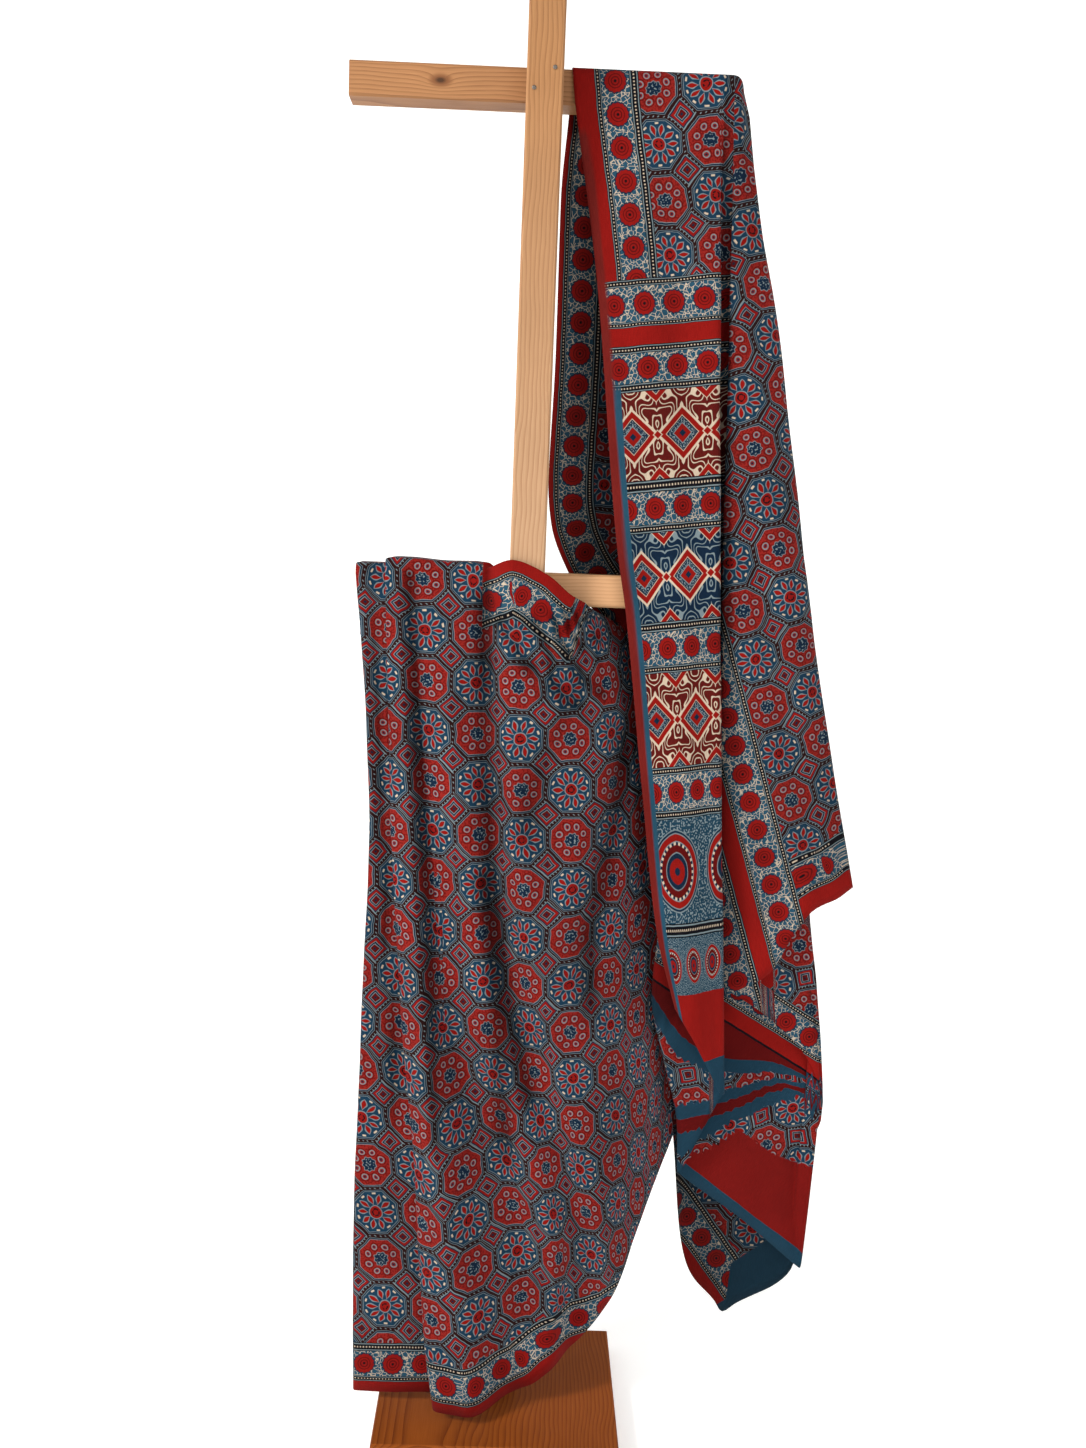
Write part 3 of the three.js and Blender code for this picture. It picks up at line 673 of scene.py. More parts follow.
# The path over an arm: out from its middle and up from the resting height.
wrapPath = dict(out=[0, 14, 20, 24.5, 26, 27.2, 28], up=[0, 0.4, 0.6, -3.5, -9, -25, -42])
skirtOver = dict(out=[24.5, 20, 0, -20, -24.5, -27, -28], up=[-3.5, 0.6, 0.2, 0.6, -3.5, -30, -95])
upperTop = dict(at=[0, 3, 5, 7, 9, 13, 17, 21, 23, 25, 27, 29],
                x=[33, 103, 157, 213, 220, 226, 231, 236, 239, 243, 246.5, 249],
                down=[0, 0, 0, 0, 0, 0, 0, 0.5, 1.5, 3.5, 6.5, 10])
outerFold = dict(fold="outerFold", at=29, z=[1737, 1639, 1517, 1368, 1189, 1031, 896, 771, 746],
                 x=[259, 274, 304, 333, 366, 397, 427, 457, 463], y=[44] * 9)

# Hang lines in front of the upper arm: the heights each passes, and where.
frontFolds = [
    dict(fold="panelEdge", at=0, z=[1737, 1528, 1193, 1116, 891, 685, 587],
         x=[38, 74, 115, 129, 160, 191, 219], y=[16, 12, 6, 3, -6, -14, -18]),
    dict(fold="panelLeft", at=3, z=[1737, 1450, 1100, 800, 640, 545],
         x=[104, 128, 180, 212, 232, 246], y=[16, 9, 2, -11, -19, -22]),
    dict(fold="panelRight", at=5, z=[1737, 1450, 1100, 800, 600, 505],
         x=[158, 178, 215, 242, 258, 268], y=[16, 12, 4, -8, -17, -20]),
    dict(fold="panelFoldFront", at=7, z=[1737, 1420, 1102, 785, 600, 467],
         x=[215, 231, 249, 268, 280, 290], y=[16, 8, 1, -10, -15, -17]),
    dict(fold="panelFold", at=8, z=[1737, 1420, 1102, 785, 600, 467],
         x=[219, 236, 254, 273, 285, 294], y=[16, 13, 7, -4, -9, -12]),
    dict(fold="panelFoldBack", at=9, z=[1737, 1420, 1102, 785, 600, 455],
         x=[221, 231, 249, 268, 280, 288], y=[16, 18, 13, 2, -3, -7]),
    dict(fold="innerFoldFront", at=11, z=[1737, 1400, 1100, 900, 700, 600, 500, 412, 345],
         x=[224, 229, 226, 213, 201, 194, 217, 239, 244], y=[16, 26, 24, 14, 5, 0, 2, 6, 8]),
    dict(fold="innerFold", at=12, z=[1737, 1400, 1100, 900, 700, 600, 500, 412, 338],
         x=[225, 225, 222, 209, 197, 190, 213, 235, 240], y=[16, 33, 33, 23, 12, 6, 8, 12, 14]),
    dict(fold="innerFoldBack", at=13, z=[1737, 1400, 1100, 900, 700, 600, 500, 412, 332],
         x=[226, 229, 226, 213, 201, 194, 217, 239, 244], y=[16, 40, 42, 32, 20, 12, 14, 18, 20]),
    dict(fold="tailMiddle", at=15, z=[1737, 1400, 1100, 800, 600, 430, 330, 258],
         x=[229, 256, 285, 300, 312, 325, 334, 340], y=[16, 46, 52, 46, 36, 24, 30, 32]),
    dict(fold="tailFoldBack", at=17, z=[1737, 1400, 1100, 803, 714, 577, 489, 429, 391, 372, 300, 180],
         x=[231, 285, 335, 385, 400, 416, 431, 438, 430, 411, 411, 428],
         y=[16, 44, 50, 50, 50, 48, 46, 44, 46, 48, 48, 46]),
    dict(fold="tailFold", at=18, z=[1737, 1400, 1100, 803, 714, 577, 489, 429, 391, 372, 300, 210],
         x=[232, 289, 339, 389, 404, 420, 435, 442, 434, 415, 415, 430],
         y=[16, 39, 44, 45, 45, 43, 41, 39, 41, 43, 43, 41]),
    dict(fold="tailFoldFront", at=19, z=[1737, 1400, 1100, 803, 714, 577, 500, 440],
         x=[234, 285, 335, 385, 400, 416, 430, 437], y=[16, 34, 38, 40, 40, 38, 36, 34]),
    dict(fold="flareEdgeBack", at=21, z=[1737, 1400, 1100, 800, 600],
         x=[236, 252, 262, 275, 290], y=[16, 30, 34, 32, 28]),
    dict(fold="flareEdge", at=22, z=[1737, 1400, 1100, 800, 598],
         x=[237, 248, 258, 271, 286], y=[16, 24, 27, 25, 22]),
    dict(fold="flareEdgeFront", at=23, z=[1737, 1400, 1100, 800, 596],
         x=[239, 252, 262, 275, 291], y=[16, 18, 20, 18, 16]),
    dict(fold="flareLeft", at=25, z=[1737, 1500, 1250, 1000, 800, 631],
         x=[244, 262, 282, 306, 328, 350], y=[20, 14, 12, 16, 18, 18]),
    dict(fold="flareMiddle", at=27, z=[1737, 1500, 1250, 1000, 850, 717],
         x=[249, 286, 320, 357, 380, 402], y=[29, 22, 20, 22, 22, 22]),
    dict(fold="flareRight", at=28, z=[1737, 1500, 1250, 1000, 850, 731],
         x=[253, 300, 342, 388, 416, 438], y=[36, 31, 30, 32, 33, 34]),
    outerFold,
]

# Hang lines behind the upper arm, from the free edge beside the post to the outer fold.
backFolds = [
    dict(fold="riserEdge", at=0, z=[1737, 1636, 1448, 1281, 1223, 1159, 1100],
         x=[32, 26, 27, 24, 30, 56, 99], y=[72, 74, 76, 76, 75, 73, 71]),
    dict(fold="riserTuck", at=1, z=[1737, 1450, 1223, 1159, 1092],
         x=[54, 60, 72, 92, 130], y=[72, 78, 78, 74, 71]),
    dict(fold="riserLeft", at=3, z=[1737, 1450, 1200, 1110, 1050, 985],
         x=[102, 108, 126, 140, 150, 160], y=[72, 82, 78, 73, 64, 50]),
    dict(fold="riserMiddle", at=5, z=[1737, 1450, 1150, 1080, 850],
         x=[155, 160, 170, 174, 184], y=[72, 84, 78, 74, 49]),
    dict(fold="riserRight", at=7, z=[1737, 1400, 1150, 1000, 715],
         x=[205, 200, 196, 196, 200], y=[72, 86, 82, 74, 47]),
    dict(fold="swagLeft", at=9, z=[1737, 1400, 1100, 800, 560],
         x=[215, 212, 210, 212, 215], y=[72, 84, 84, 66, 43]),
    dict(fold="swagFoot", at=11, z=[1737, 1400, 1100, 700, 384],
         x=[222, 225, 228, 232, 233], y=[72, 84, 86, 66, 34]),
    dict(fold="tongueLeft", at=14, z=[1737, 1400, 1000, 600, 328, 176],
         x=[229, 240, 252, 260, 260, 266], y=[72, 88, 92, 78, 62, 58]),
    dict(fold="tongueSlope", at=16.4, z=[1737, 1400, 1000, 600, 310, 116],
         x=[232, 252, 279, 298, 304, 311], y=[72, 90, 95, 81, 66, 60]),
    dict(fold="tongueFoot", at=17, z=[1737, 1400, 1000, 600, 300, 100],
         x=[233, 255, 285, 308, 316, 323], y=[72, 90, 96, 82, 66, 60]),
    dict(fold="tongueEnd", at=17.6, z=[1737, 1400, 1000, 600, 310, 112],
         x=[234, 258, 293, 320, 333, 340], y=[72, 90, 96, 82, 66, 60]),
    dict(fold="tongueRight", at=20, z=[1737, 1400, 1000, 700, 450, 300, 190],
         x=[238, 275, 330, 372, 400, 409, 424], y=[70, 86, 94, 84, 72, 66, 62]),
    dict(fold="backHem", at=24, z=[1737, 1500, 1250, 1000, 850, 715],
         x=[244, 272, 305, 345, 372, 396], y=[62, 76, 82, 82, 76, 66]),
    dict(fold="backRight", at=27, z=[1737, 1500, 1250, 1000, 850, 732],
         x=[249, 292, 332, 376, 405, 432], y=[54, 60, 62, 62, 60, 58]),
    outerFold,
]

# Hang lines of the skirt; lift is how far a layer lies above the lowest, over the share that crosses the arm.
skirtFolds = [
    dict(fold="innerEnd", at=0, lift=0, over=1, z=[1150, 900, 600, 300, 70],
         x=[-62, -66, -72, -80, -88], y=[18, 8, -8, -20, -30]),
    dict(fold="leftFoldBack", at=4, lift=0, over=1, z=[1150, 961, 816, 622, 498, 340, 173, 48],
         x=[-218, -200, -192, -195, -197, -199, -198, -195], y=[18, 7, -2, -12, -20, -28, -38, -47]),
    dict(fold="leftFold", at=5, lift=1.8, over=1, z=[1150, 961, 816, 622, 498, 340, 173, 45],
         x=[-222, -203, -195, -198, -200, -202, -201, -198], y=[16.2, 3, -6, -17, -25, -33, -44, -53]),
    dict(fold="leftFoldFront", at=6, lift=3.6, over=1, z=[1150, 961, 816, 622, 498, 340, 173, 45],
         x=[-218, -200, -192, -195, -197, -199, -198, -195], y=[14.4, -1, -11, -22, -31, -40, -51, -60]),
    dict(fold="pleatBack", at=8, lift=3.6, over=1, z=[1150, 900, 600, 300, 50],
         x=[-112, -104, -92, -60, -40], y=[14.4, -4, -26, -48, -66]),
    dict(fold="pleatTurn", at=9, lift=5.4, over=1, z=[1150, 900, 600, 300, 50],
         x=[-108, -100, -88, -56, -36], y=[12.6, -8, -31, -53, -71]),
    dict(fold="pleatFront", at=10, lift=7.2, over=1, z=[1150, 900, 600, 300, 50],
         x=[-112, -104, -92, -60, -40], y=[10.8, -12, -36, -58, -77]),
    dict(fold="frontEdgeBack", at=12, lift=7.2, over=1, z=[1150, 779, 565, 382, 231, 123, 45],
         x=[-179, -158, -140, -118, -105, -95, -83], y=[10.8, -20, -38, -54, -68, -78, -88]),
    dict(fold="frontEdge", at=13, lift=9, over=1, z=[1150, 779, 565, 382, 231, 123, 45],
         x=[-183, -162, -144, -122, -109, -99, -87], y=[9, -24, -42, -59, -73, -83, -93]),
    dict(fold="frontEdgeTurn", at=14, lift=10.8, over=1, z=[1150, 779, 565, 382, 231, 123, 45],
         x=[-179, -158, -140, -118, -105, -95, -83], y=[7.2, -29, -47, -64, -79, -89, -98]),
    dict(fold="firstRidge", at=16, lift=11.5, over=1, z=[1150, 990, 781, 568, 331, 45],
         x=[-168, -153, -133, -113, -79, -44], y=[6, -14, -38, -58, -82, -102]),
    dict(fold="firstValley", at=18, lift=11.5, over=1, z=[1150, 990, 773, 564, 449, 350, 242, 61],
         x=[-155, -137, -107, -81, -34, -5, 24, 36], y=[6, -6, -20, -32, -38, -42, -48, -56]),
    dict(fold="secondRidge", at=20, lift=9, over=1, z=[1150, 947, 732, 548, 356, 227, 80],
         x=[-105, -86, -59, -13, 40, 68, 67], y=[6, -20, -42, -60, -68, -66, -58]),
    dict(fold="secondValley", at=22, lift=9.5, over=0.4, z=[1160, 949, 871, 668, 476, 276, 105],
         x=[-57, -52, -40, -5, 49, 93, 101], y=[2, -20, -27, -38, -38, -34, -30]),
    dict(fold="flapLeft", at=24, lift=0, over=0, z=[1176, 999, 805, 603, 392, 212, 138],
         x=[-19, -10, 10, 50, 99, 131, 130], y=[-29, -42, -50, -54, -48, -34, -26]),
    dict(fold="flapRight", at=26, lift=0, over=0, z=[1159, 1001, 806, 602, 385, 175],
         x=[26, 35, 62, 104, 148, 156], y=[-29, -42, -44, -36, -22, -10]),
    dict(fold="gatherLeft", at=28, lift=0, over=0, z=[1135, 975, 802, 594, 419, 252],
         x=[56, 88, 118, 152, 182, 185], y=[-22, -24, -18, -8, 2, 6]),
    dict(fold="gatherRight", at=30, lift=0, over=0, z=[1124, 999, 797, 586, 471, 319],
         x=[76, 117, 151, 182, 202, 207], y=[-6, 2, 10, 14, 16, 16]),
]


def smooth(knots, values, at):  # monotone cubic: Hermite pieces whose slopes are the weighted harmonic means
    knots, values, at = np.asarray(knots, float), np.asarray(values, float), np.atleast_1d(at).astype(float)
    if knots[-1] < knots[0]:
        knots, at = -knots, -at
    shape = (-1,) + (1,) * (values.ndim - 1)
    gap = np.diff(knots)
    slope = np.diff(values, axis=0) / gap.reshape(shape)
    before, after = slope[:-1], slope[1:]
    alike = before * after > 0
    safeBefore, safeAfter = np.where(alike, before, 1.0), np.where(alike, after, 1.0)
    share = (2 * safeBefore + safeAfter) / safeBefore + (safeBefore + 2 * safeAfter) / safeAfter
    inner = np.where(alike, 3 * (before + after) / share, 0.0)
    tangent = np.concatenate([slope[:1], inner, slope[-1:]])
    k = np.clip(np.searchsorted(knots, at) - 1, 0, len(knots) - 2)
    h = gap[k].reshape(shape)
    u = np.clip((at - knots[k]).reshape(shape) / h, 0, 1)
    return ((1 + 2 * u) * (1 - u) ** 2 * values[k] + u * u * (3 - 2 * u) * values[k + 1]
            + u * (1 - u) ** 2 * h * tangent[k] - u * u * (1 - u) * h * tangent[k + 1])


def ramp(value, start, end):  # 0 up to start, 1 from end on, straight between them
    return np.clip((value - start) / (end - start), 0, 1)


def hang(folds, at, q):  # points[a, b]: place at[a] across the folds, share q[b] of the way down
    rows = []
    for row in folds:
        z = row["z"][0] + (row["z"][-1] - row["z"][0]) * q
        rows.append(np.stack([smooth(row["z"], row["x"], z), smooth(row["z"], row["y"], z), z], -1))
    return smooth([row["at"] for row in folds], np.array(rows), at)


def upperLines(folds, side, at):  # over the arm: middle + side*reach*out(w), rest + up(w); then hang(q)
    down = hang(folds, at, np.linspace(0, 1, cloth["downCells"] + 1))
    start = down[:, 0]
    stops = len(wrapPath["out"])
    w = np.linspace(0, stops - 1, cloth["wrapCells"] + 1)[:-1]
    out, up = smooth(range(stops), wrapPath["out"], w), smooth(range(stops), wrapPath["up"], w)
    reach = np.abs(start[:, 1] - stand["armMiddle"]) / wrapPath["out"][-1]
    topX = smooth(upperTop["at"], upperTop["x"], at)
    rest = stand["upperTop"] + cloth["rest"] - smooth(upperTop["at"], upperTop["down"], at)
    span = -wrapPath["up"][-1]
    share = np.clip(-up, 0, None) / span
    x = topX[:, None] + (start[:, 0] - topX)[:, None] * share
    y = stand["armMiddle"] + side * reach[:, None] * out
    z = rest[:, None] + up + (start[:, 2] - (rest - span))[:, None] * share
    return np.concatenate([np.stack([x, y, z], -1), down], axis=1)


def skirtLines(at, shares):  # over the lower arm by its tabled path, cut to its share; then hang(shares)
    down = hang(skirtFolds, at, shares)
    start = down[:, 0]
    places = [row["at"] for row in skirtFolds]
    lift = smooth(places, [row["lift"] for row in skirtFolds], at)
    over = np.where(at >= cloth["lastOver"], 0.0, smooth(places, [row["over"] for row in skirtFolds], at))
    out, up = np.array(skirtOver["out"]), np.array(skirtOver["up"])
    y = stand["armMiddle"] - out[:, None] - np.sign(out)[:, None] * lift
    z = stand["lowerTop"] + cloth["rest"] + up[:, None] + lift
    nodes = np.stack([np.broadcast_to(start[:, 0], y.shape), y, z], -1)
    nodes = np.concatenate([start[None], nodes])
    fineCount = 281
    dense = smooth(range(len(nodes)), nodes, np.linspace(0, len(nodes) - 1, fineCount))
    index = over[:, None] * np.linspace(1, 0, cloth["overCells"] + 1)[:-1] * (fineCount - 1)
    low = np.clip(np.floor(index).astype(int), 0, fineCount - 2)
    part = (index - low)[..., None]
    column = np.arange(len(at))[:, None]
    path = dense[low, column] * (1 - part) + dense[low + 1, column] * part
    return np.concatenate([path, down], axis=1)


def arcLength(points, axis):  # running length along one axis of a grid of points
    gaps = np.linalg.norm(np.diff(points, axis=axis), axis=-1)
    zero = np.zeros_like(np.take(gaps, [0], axis=axis))
    return np.concatenate([zero, np.cumsum(gaps, axis=axis)], axis=axis)


def lineDistance(points, path):  # distance in the XZ plane to a polyline, and how far along it
    flat, route = points[..., [0, 2]].reshape(-1, 2), np.asarray(path, float)
    best, run = np.full(len(flat), 1e9), np.zeros(len(flat))
    travelled = 0.0
    for start, finish in zip(route[:-1], route[1:]):
        along = finish - start
        length = np.linalg.norm(along)
        if length < 1e-6:
            continue
        share = np.clip((flat - start) @ along / length ** 2, 0, 1)
        gap = np.linalg.norm(flat - start - share[:, None] * along, axis=1)
        run = np.where(gap < best, travelled + share * length, run)
        best = np.minimum(gap, best)
        travelled += length
    return best.reshape(points.shape[:-1]), run.reshape(points.shape[:-1])


def signedDistance(points, start, finish):  # distance in the XZ plane left of a line, and how far along it
    along = np.subtract(finish, start) / np.linalg.norm(np.subtract(finish, start))
    gap = points[..., [0, 2]] - np.array(start, float)
    return along[0] * gap[..., 1] - along[1] * gap[..., 0], gap @ along


# Places of the print in the XZ plane, in millimetres.
printed = dict(
    bandRise=0.123, endStart=264.0, flareLine=((394, 670), (262, 1079)), hemLine=((67, 80), (178, 115)),
    rolledTop=1700, rolledEdge=(11, 12.5), looseTop=700, tailTop=760, tailShift=20,
    tailBorder=((331, 586), (422, 529)), tailEnd=((242, 332), (432, 180)), tongueTop=330,
    tongueEdge=((268, 176), (323, 100)), tongueEnd=((323, 100), (432, 179)), tongueCorner=330,
    flapFoot=900, flapFade=(58, 118), flapAway=180, flapDrawn=3, riserInset=20, slantInset=14, hemInset=12,
    cornerReach=38, stripReach=4, noEdge=400.0, noEnd=-900.0, plainLevel=5500, noLevel=-1000)

# Where the print changes from one part of the drape to the next, in places across the folds.
turns = dict(panelEnd=8, tailStart=9.6, flareStart=20, flareHem=23, tongueStart=11, tongueStop=21,
             backHem=20, firstHem=13, hemBack=15, ridge=16, hemFront=17, hemLeaves=18, hemLast=20, hemGone=21,
             flapStart=22)

# Edges of the tail's stripes: at each x the heights where one ends and the next begins, from the top.
tailStripes = [
    dict(x=190, z=[600, 572, 570, 566, 546, 526, 380]), dict(x=231, z=[546, 516, 436, 418, 400, 357, 352]),
    dict(x=260, z=[523, 502, 444, 427, 411, 371, 367]), dict(x=290, z=[504, 488, 452, 436, 423, 390, 386]),
    dict(x=320, z=[499, 480, 459, 445, 434, 409, 404]), dict(x=350, z=[497, 478, 466, 455, 447, 428, 378]),
    dict(x=380, z=[487, 475, 470, 463, 457, 443, 355]), dict(x=410, z=[471, 463, 461, 459, 457, 454, 341]),
    dict(x=432, z=[453, 450, 449, 447, 446, 444, 332])]


def tailLevel(x, z):
    # The stripe edges passed on the way down, with the share between two of them. Above the first it falls
    # by 1 for each 20 mm, and below the last it rises by 1 for each 60 mm.
    edges = smooth([row["x"] for row in tailStripes], [row["z"] for row in tailStripes], x.ravel())
    height = z.reshape(-1, 1)
    shares = np.clip((edges[:, :-1] - height) / (edges[:, :-1] - edges[:, 1:]), 0, 1)
    above = np.clip((edges[:, :1] - height) / 20, -9, 0)
    below = np.clip((edges[:, -1:] - height) / 60, 0, 9)
    return (shares.sum(1) + above[:, 0] + below[:, 0]).reshape(x.shape)


def hungHeight(points):  # the height, or over the arm that of the hang's start plus the length back to it
    down, first = arcLength(points, 1), cloth["wrapCells"]
    overArm = points[:, first:first + 1, 2] + down[:, first:first + 1] - down
    return np.where(np.arange(points.shape[1]) < first, overArm, points[..., 2])


def stackPlaces(*places):  # each place's grids as vectors, with zero for a third that isn't given
    zero = np.zeros_like(places[0][0])
    return [np.stack([*parts, zero][:3], -1) for parts in places]


def frontPrint(points, at):  # the panel's print hangs by its edge, the flare's and the tail's are turned
    p = at[:, None] * np.ones(points.shape[1])
    x, z = points[..., 0], points[..., 2]
    onPanel, onFlare = p <= turns["panelEnd"], p >= turns["flareStart"]
    onTail = (p >= turns["tailStart"]) & (p <= turns["flareStart"])
    loose = onTail & (z < printed["looseTop"])

    # The panel: across by distance from its edge, down by hung length with a slight rise to the right.
    hung = hungHeight(points)
    edge = np.where(onPanel, arcLength(points, 0), lineDistance(points, points[0][:, [0, 2]])[0])
    fall = stand["upperTop"] - hung + printed["bandRise"] * (x - points[0, :, 0])
    rolled = (onPanel & (z < printed["rolledTop"])) * (1 - ramp(edge, *printed["rolledEdge"]))

    # The flare: left of its slanted border and up along it.
    foot, top = (np.array(end, float) for end in printed["flareLine"])
    rise = (top - foot) / np.linalg.norm(top - foot)
    gap = np.stack([x, hung], -1) - top
    flareLeft, flareUp = gap @ np.array([-rise[1], rise[0]]), gap @ rise
    hem, hemRun = lineDistance(points, points[at >= turns["flareHem"]][:, -1][:, [0, 2]])
    border = np.where(onFlare, hem, np.where(onPanel, edge, printed["noEdge"]))

    # The tail: along its slanted border and away from it.
    slope, slopeRun = signedDistance(points, *printed["tailBorder"])
    nearEnd = signedDistance(points, *printed["tailEnd"])[0]
    body = [np.where(loose, slopeRun + printed["tailShift"], np.where(onFlare, flareLeft, edge)),
            np.where(loose, slope, np.where(onFlare, flareUp, fall))]
    depth = np.where(onFlare, flareLeft, fall - printed["endStart"])
    ends = [np.where(onTail & (z < printed["tailTop"]), printed["noEnd"], depth),
            np.where(onTail, slopeRun, np.where(onFlare, flareUp, edge))]
    borders = [np.minimum(border, printed["noEdge"]), np.where(onFlare, hemRun, fall), rolled / mm]
    return stackPlaces(body, borders, ends, [slope, tailLevel(x, z) / mm, nearEnd]), onTail


def backPrint(points, at):  # upright, bordered by the riser's edge, the hem and the tongue's slanted edge
    p = at[:, None] * np.ones(points.shape[1])
    x, z = points[..., 0], points[..., 2]
    onTongue = (p >= turns["tongueStart"]) & (p < turns["tongueStop"])
    edge, edgeRun = lineDistance(points, points[0][:, [0, 2]])
    hem, hemRun = lineDistance(points, points[at >= turns["backHem"]][:, -1][:, [0, 2]])
    slant, slantRun = signedDistance(points, *printed["tongueEdge"])
    border = np.where(hem < edge, hem, edge + printed["riserInset"])
    border = np.where(onTongue, np.abs(slant) + printed["slantInset"], border)
    run = np.where(onTongue, slantRun, np.where(hem < edge, hemRun, edgeRun))
    nearEnd = np.abs(signedDistance(points, *printed["tongueEnd"])[0])
    onCorner = onTongue & (x > printed["tongueCorner"])
    nearEnd = nearEnd + np.where(onCorner, -printed["cornerReach"], printed["stripReach"])
    vectors = stackPlaces([x, hungHeight(points)], [np.minimum(border, printed["noEdge"]), run],
                          [p * 0 + printed["noEnd"], run],
                          [p * 0 + printed["noEdge"], p * 0 + printed["plainLevel"], nearEnd])
    return vectors, onTongue & (z < printed["tongueTop"])


def skirtPrint(points, at):  # across by length from the first ridge in each row, up by length from the top
    p = at[:, None] * np.ones(points.shape[1])
    down, wide = arcLength(points, 1), arcLength(points, 0)
    top, ridge, hemLast = cloth["overCells"], turns["ridge"] * cloth["fine"], turns["hemLast"] * cloth["fine"]
    across = wide - wide[ridge]
    up = points[:, top:top + 1, 2] - (down - down[:, top:top + 1])

    # The hem's border follows the hem, and leaves the cloth in a straight line; behind, it goes by length.
    hem, hemRun = lineDistance(points, points[at >= turns["firstHem"]][:, -1][:, [0, 2]])
    straight, straightRun = signedDistance(points, *printed["hemLine"])
    leaving = ramp(p, turns["hemLeaves"], turns["hemGone"])
    onFront = ramp(p, turns["hemBack"], turns["hemFront"])
    hem = hem * (1 - leaving) + straight * leaving
    hem = hem * onFront + (down[:, -1:] - down) * (1 - onFront) + printed["hemInset"] * (1 - leaving)
    hemRun = hemRun * (1 - leaving) + (straightRun + hemRun[hemLast, -1]) * leaving
    hemRun = np.where(p < turns["ridge"], across, hemRun + across[ridge, -1] - hemRun[ridge, -1])

    # The flap's border follows its top edge, which is carried on to the left, and fades out to the right.
    flap = points[at >= turns["flapStart"]][:, top][:, [0, 2]]
    flap = np.concatenate([flap[:1] - (flap[cloth["fine"]] - flap[:1]) * printed["flapDrawn"], flap])
    flapEdge, flapRun = lineDistance(points, flap)
    away = ramp(points[..., 0], *printed["flapFade"]) * printed["flapAway"]
    flapEdge = flapEdge + printed["hemInset"] + away
    onFlap = (p >= turns["flapStart"]) & (points[..., 2] > printed["flapFoot"])
    flapEdge = np.where(onFlap, flapEdge, printed["noEdge"])
    start = np.where(p < turns["hemGone"], down, printed["noEdge"])
    border = np.minimum(np.minimum(hem, flapEdge), start)
    run = np.where(border == hem, hemRun, np.where(border == flapEdge, flapRun, across))
    vectors = stackPlaces([across, up], [border, run], [p * 0 + printed["noEnd"], run],
                          [p * 0 + printed["noEdge"], p * 0 + printed["noLevel"], p * 0 + printed["noEdge"]])
    return vectors, p < 0


# Main creases of the skirt, in the XZ plane: path, half width and depth, negative for a trough.
creases = [
    dict(path=[(84, 1106), (54, 1092), (24, 1072)], wide=5, deep=-8),
    dict(path=[(97, 1081), (71, 1072), (46, 1058), (3, 1037)], wide=5, deep=-9),
    dict(path=[(64, 1109), (36, 1100), (10, 1093), (-36, 1098)], wide=5, deep=-8),
    dict(path=[(100, 1030), (70, 1022), (45, 1015), (7, 1034)], wide=5, deep=-7),
    dict(path=[(104, 1010), (80, 997), (57, 990), (22, 999)], wide=5, deep=-7),
    dict(path=[(-32, 1090), (-12, 1068), (3, 1040)], wide=5, deep=-6),
    dict(path=[(96, 1052), (66, 1040), (34, 1036)], wide=4, deep=-5),
    dict(path=[(100, 1098), (70, 1080), (35, 1062)], wide=7, deep=6),
    dict(path=[(108, 1060), (80, 1024), (45, 1000)], wide=8, deep=5),
    dict(path=[(142, 951), (131, 868), (116, 779), (98, 690), (104, 596)], wide=15, deep=-13),
    dict(path=[(118, 985), (98, 880), (70, 760), (52, 640)], wide=18, deep=7),
    dict(path=[(-52, 1160), (-50, 1090), (-44, 1010)], wide=6, deep=-5),
    dict(path=[(62, 1000), (35, 930), (10, 830)], wide=14, deep=-6),
    dict(path=[(-150, 1150), (-132, 912), (-112, 680), (-92, 420)], wide=9, deep=-8),
    dict(path=[(-38, 760), (-8, 620), (28, 470)], wide=13, deep=-9),
    dict(path=[(-200, 1160), (-184, 912), (-166, 622), (-147, 385), (-132, 103)], wide=6, deep=-6),
    dict(path=[(-56, 1123), (-38, 863), (-19, 596), (-2, 390)], wide=12, deep=-8),
    dict(path=[(-98, 1000), (-96, 733), (-90, 467), (-70, 250)], wide=18, deep=7),
]


def bell(points, crease):  # exp(-(d / wide) squared), where d is the distance to the crease's path
    return np.exp(-(lineDistance(points, crease["path"])[0] / crease["wide"]) ** 2)


# The three grids that make the sheet, in the order in which they are joined.
frontPatch, backPatch, skirtPatch = range(3)

# Painted shade: how much darker the print is made on the back, beside the panel's fold (a painted shadow of
# the panel) and in the skirt's troughs.
paintedShading = dict(back=0.5, fold=0.42, foldWide=22, foldFoot=560, foldStart=10, trough=0.85, steepest=0.7,
               least=0.35)


def paintedShade(points, patch):  # painted shade: 1 (0.5 on the back) less a bell beside the panel's fold, or less each trough's bell
    shade = np.full(points.shape[:-1], paintedShading["back"] if patch == backPatch else 1.0)
    if patch == frontPatch:
        fold = points[turns["panelEnd"] * cloth["fine"]]
        gap = points[..., 0] - smooth(fold[:, 2], fold[:, 0], points[..., 2].ravel()).reshape(shade.shape)
        behind = (np.arange(len(points)) > paintedShading["foldStart"] * cloth["fine"])[:, None]
        behind = behind & (points[..., 2] > paintedShading["foldFoot"])
        shade -= paintedShading["fold"] * np.exp(-(np.clip(gap, 0, None) / paintedShading["foldWide"]) ** 2) * behind
    if patch == skirtPatch:
        for crease in creases:
            steep = min(max(-crease["deep"], 0) / crease["wide"], paintedShading["steepest"])
            shade -= steep * paintedShading["trough"] * bell(points, crease)
    return np.clip(shade, paintedShading["least"], 1)


def plateau(at, start, full, last, end):  # rises from start to full and falls from last to end
    return ramp(at, start, full) * (1 - ramp(at, last, end))


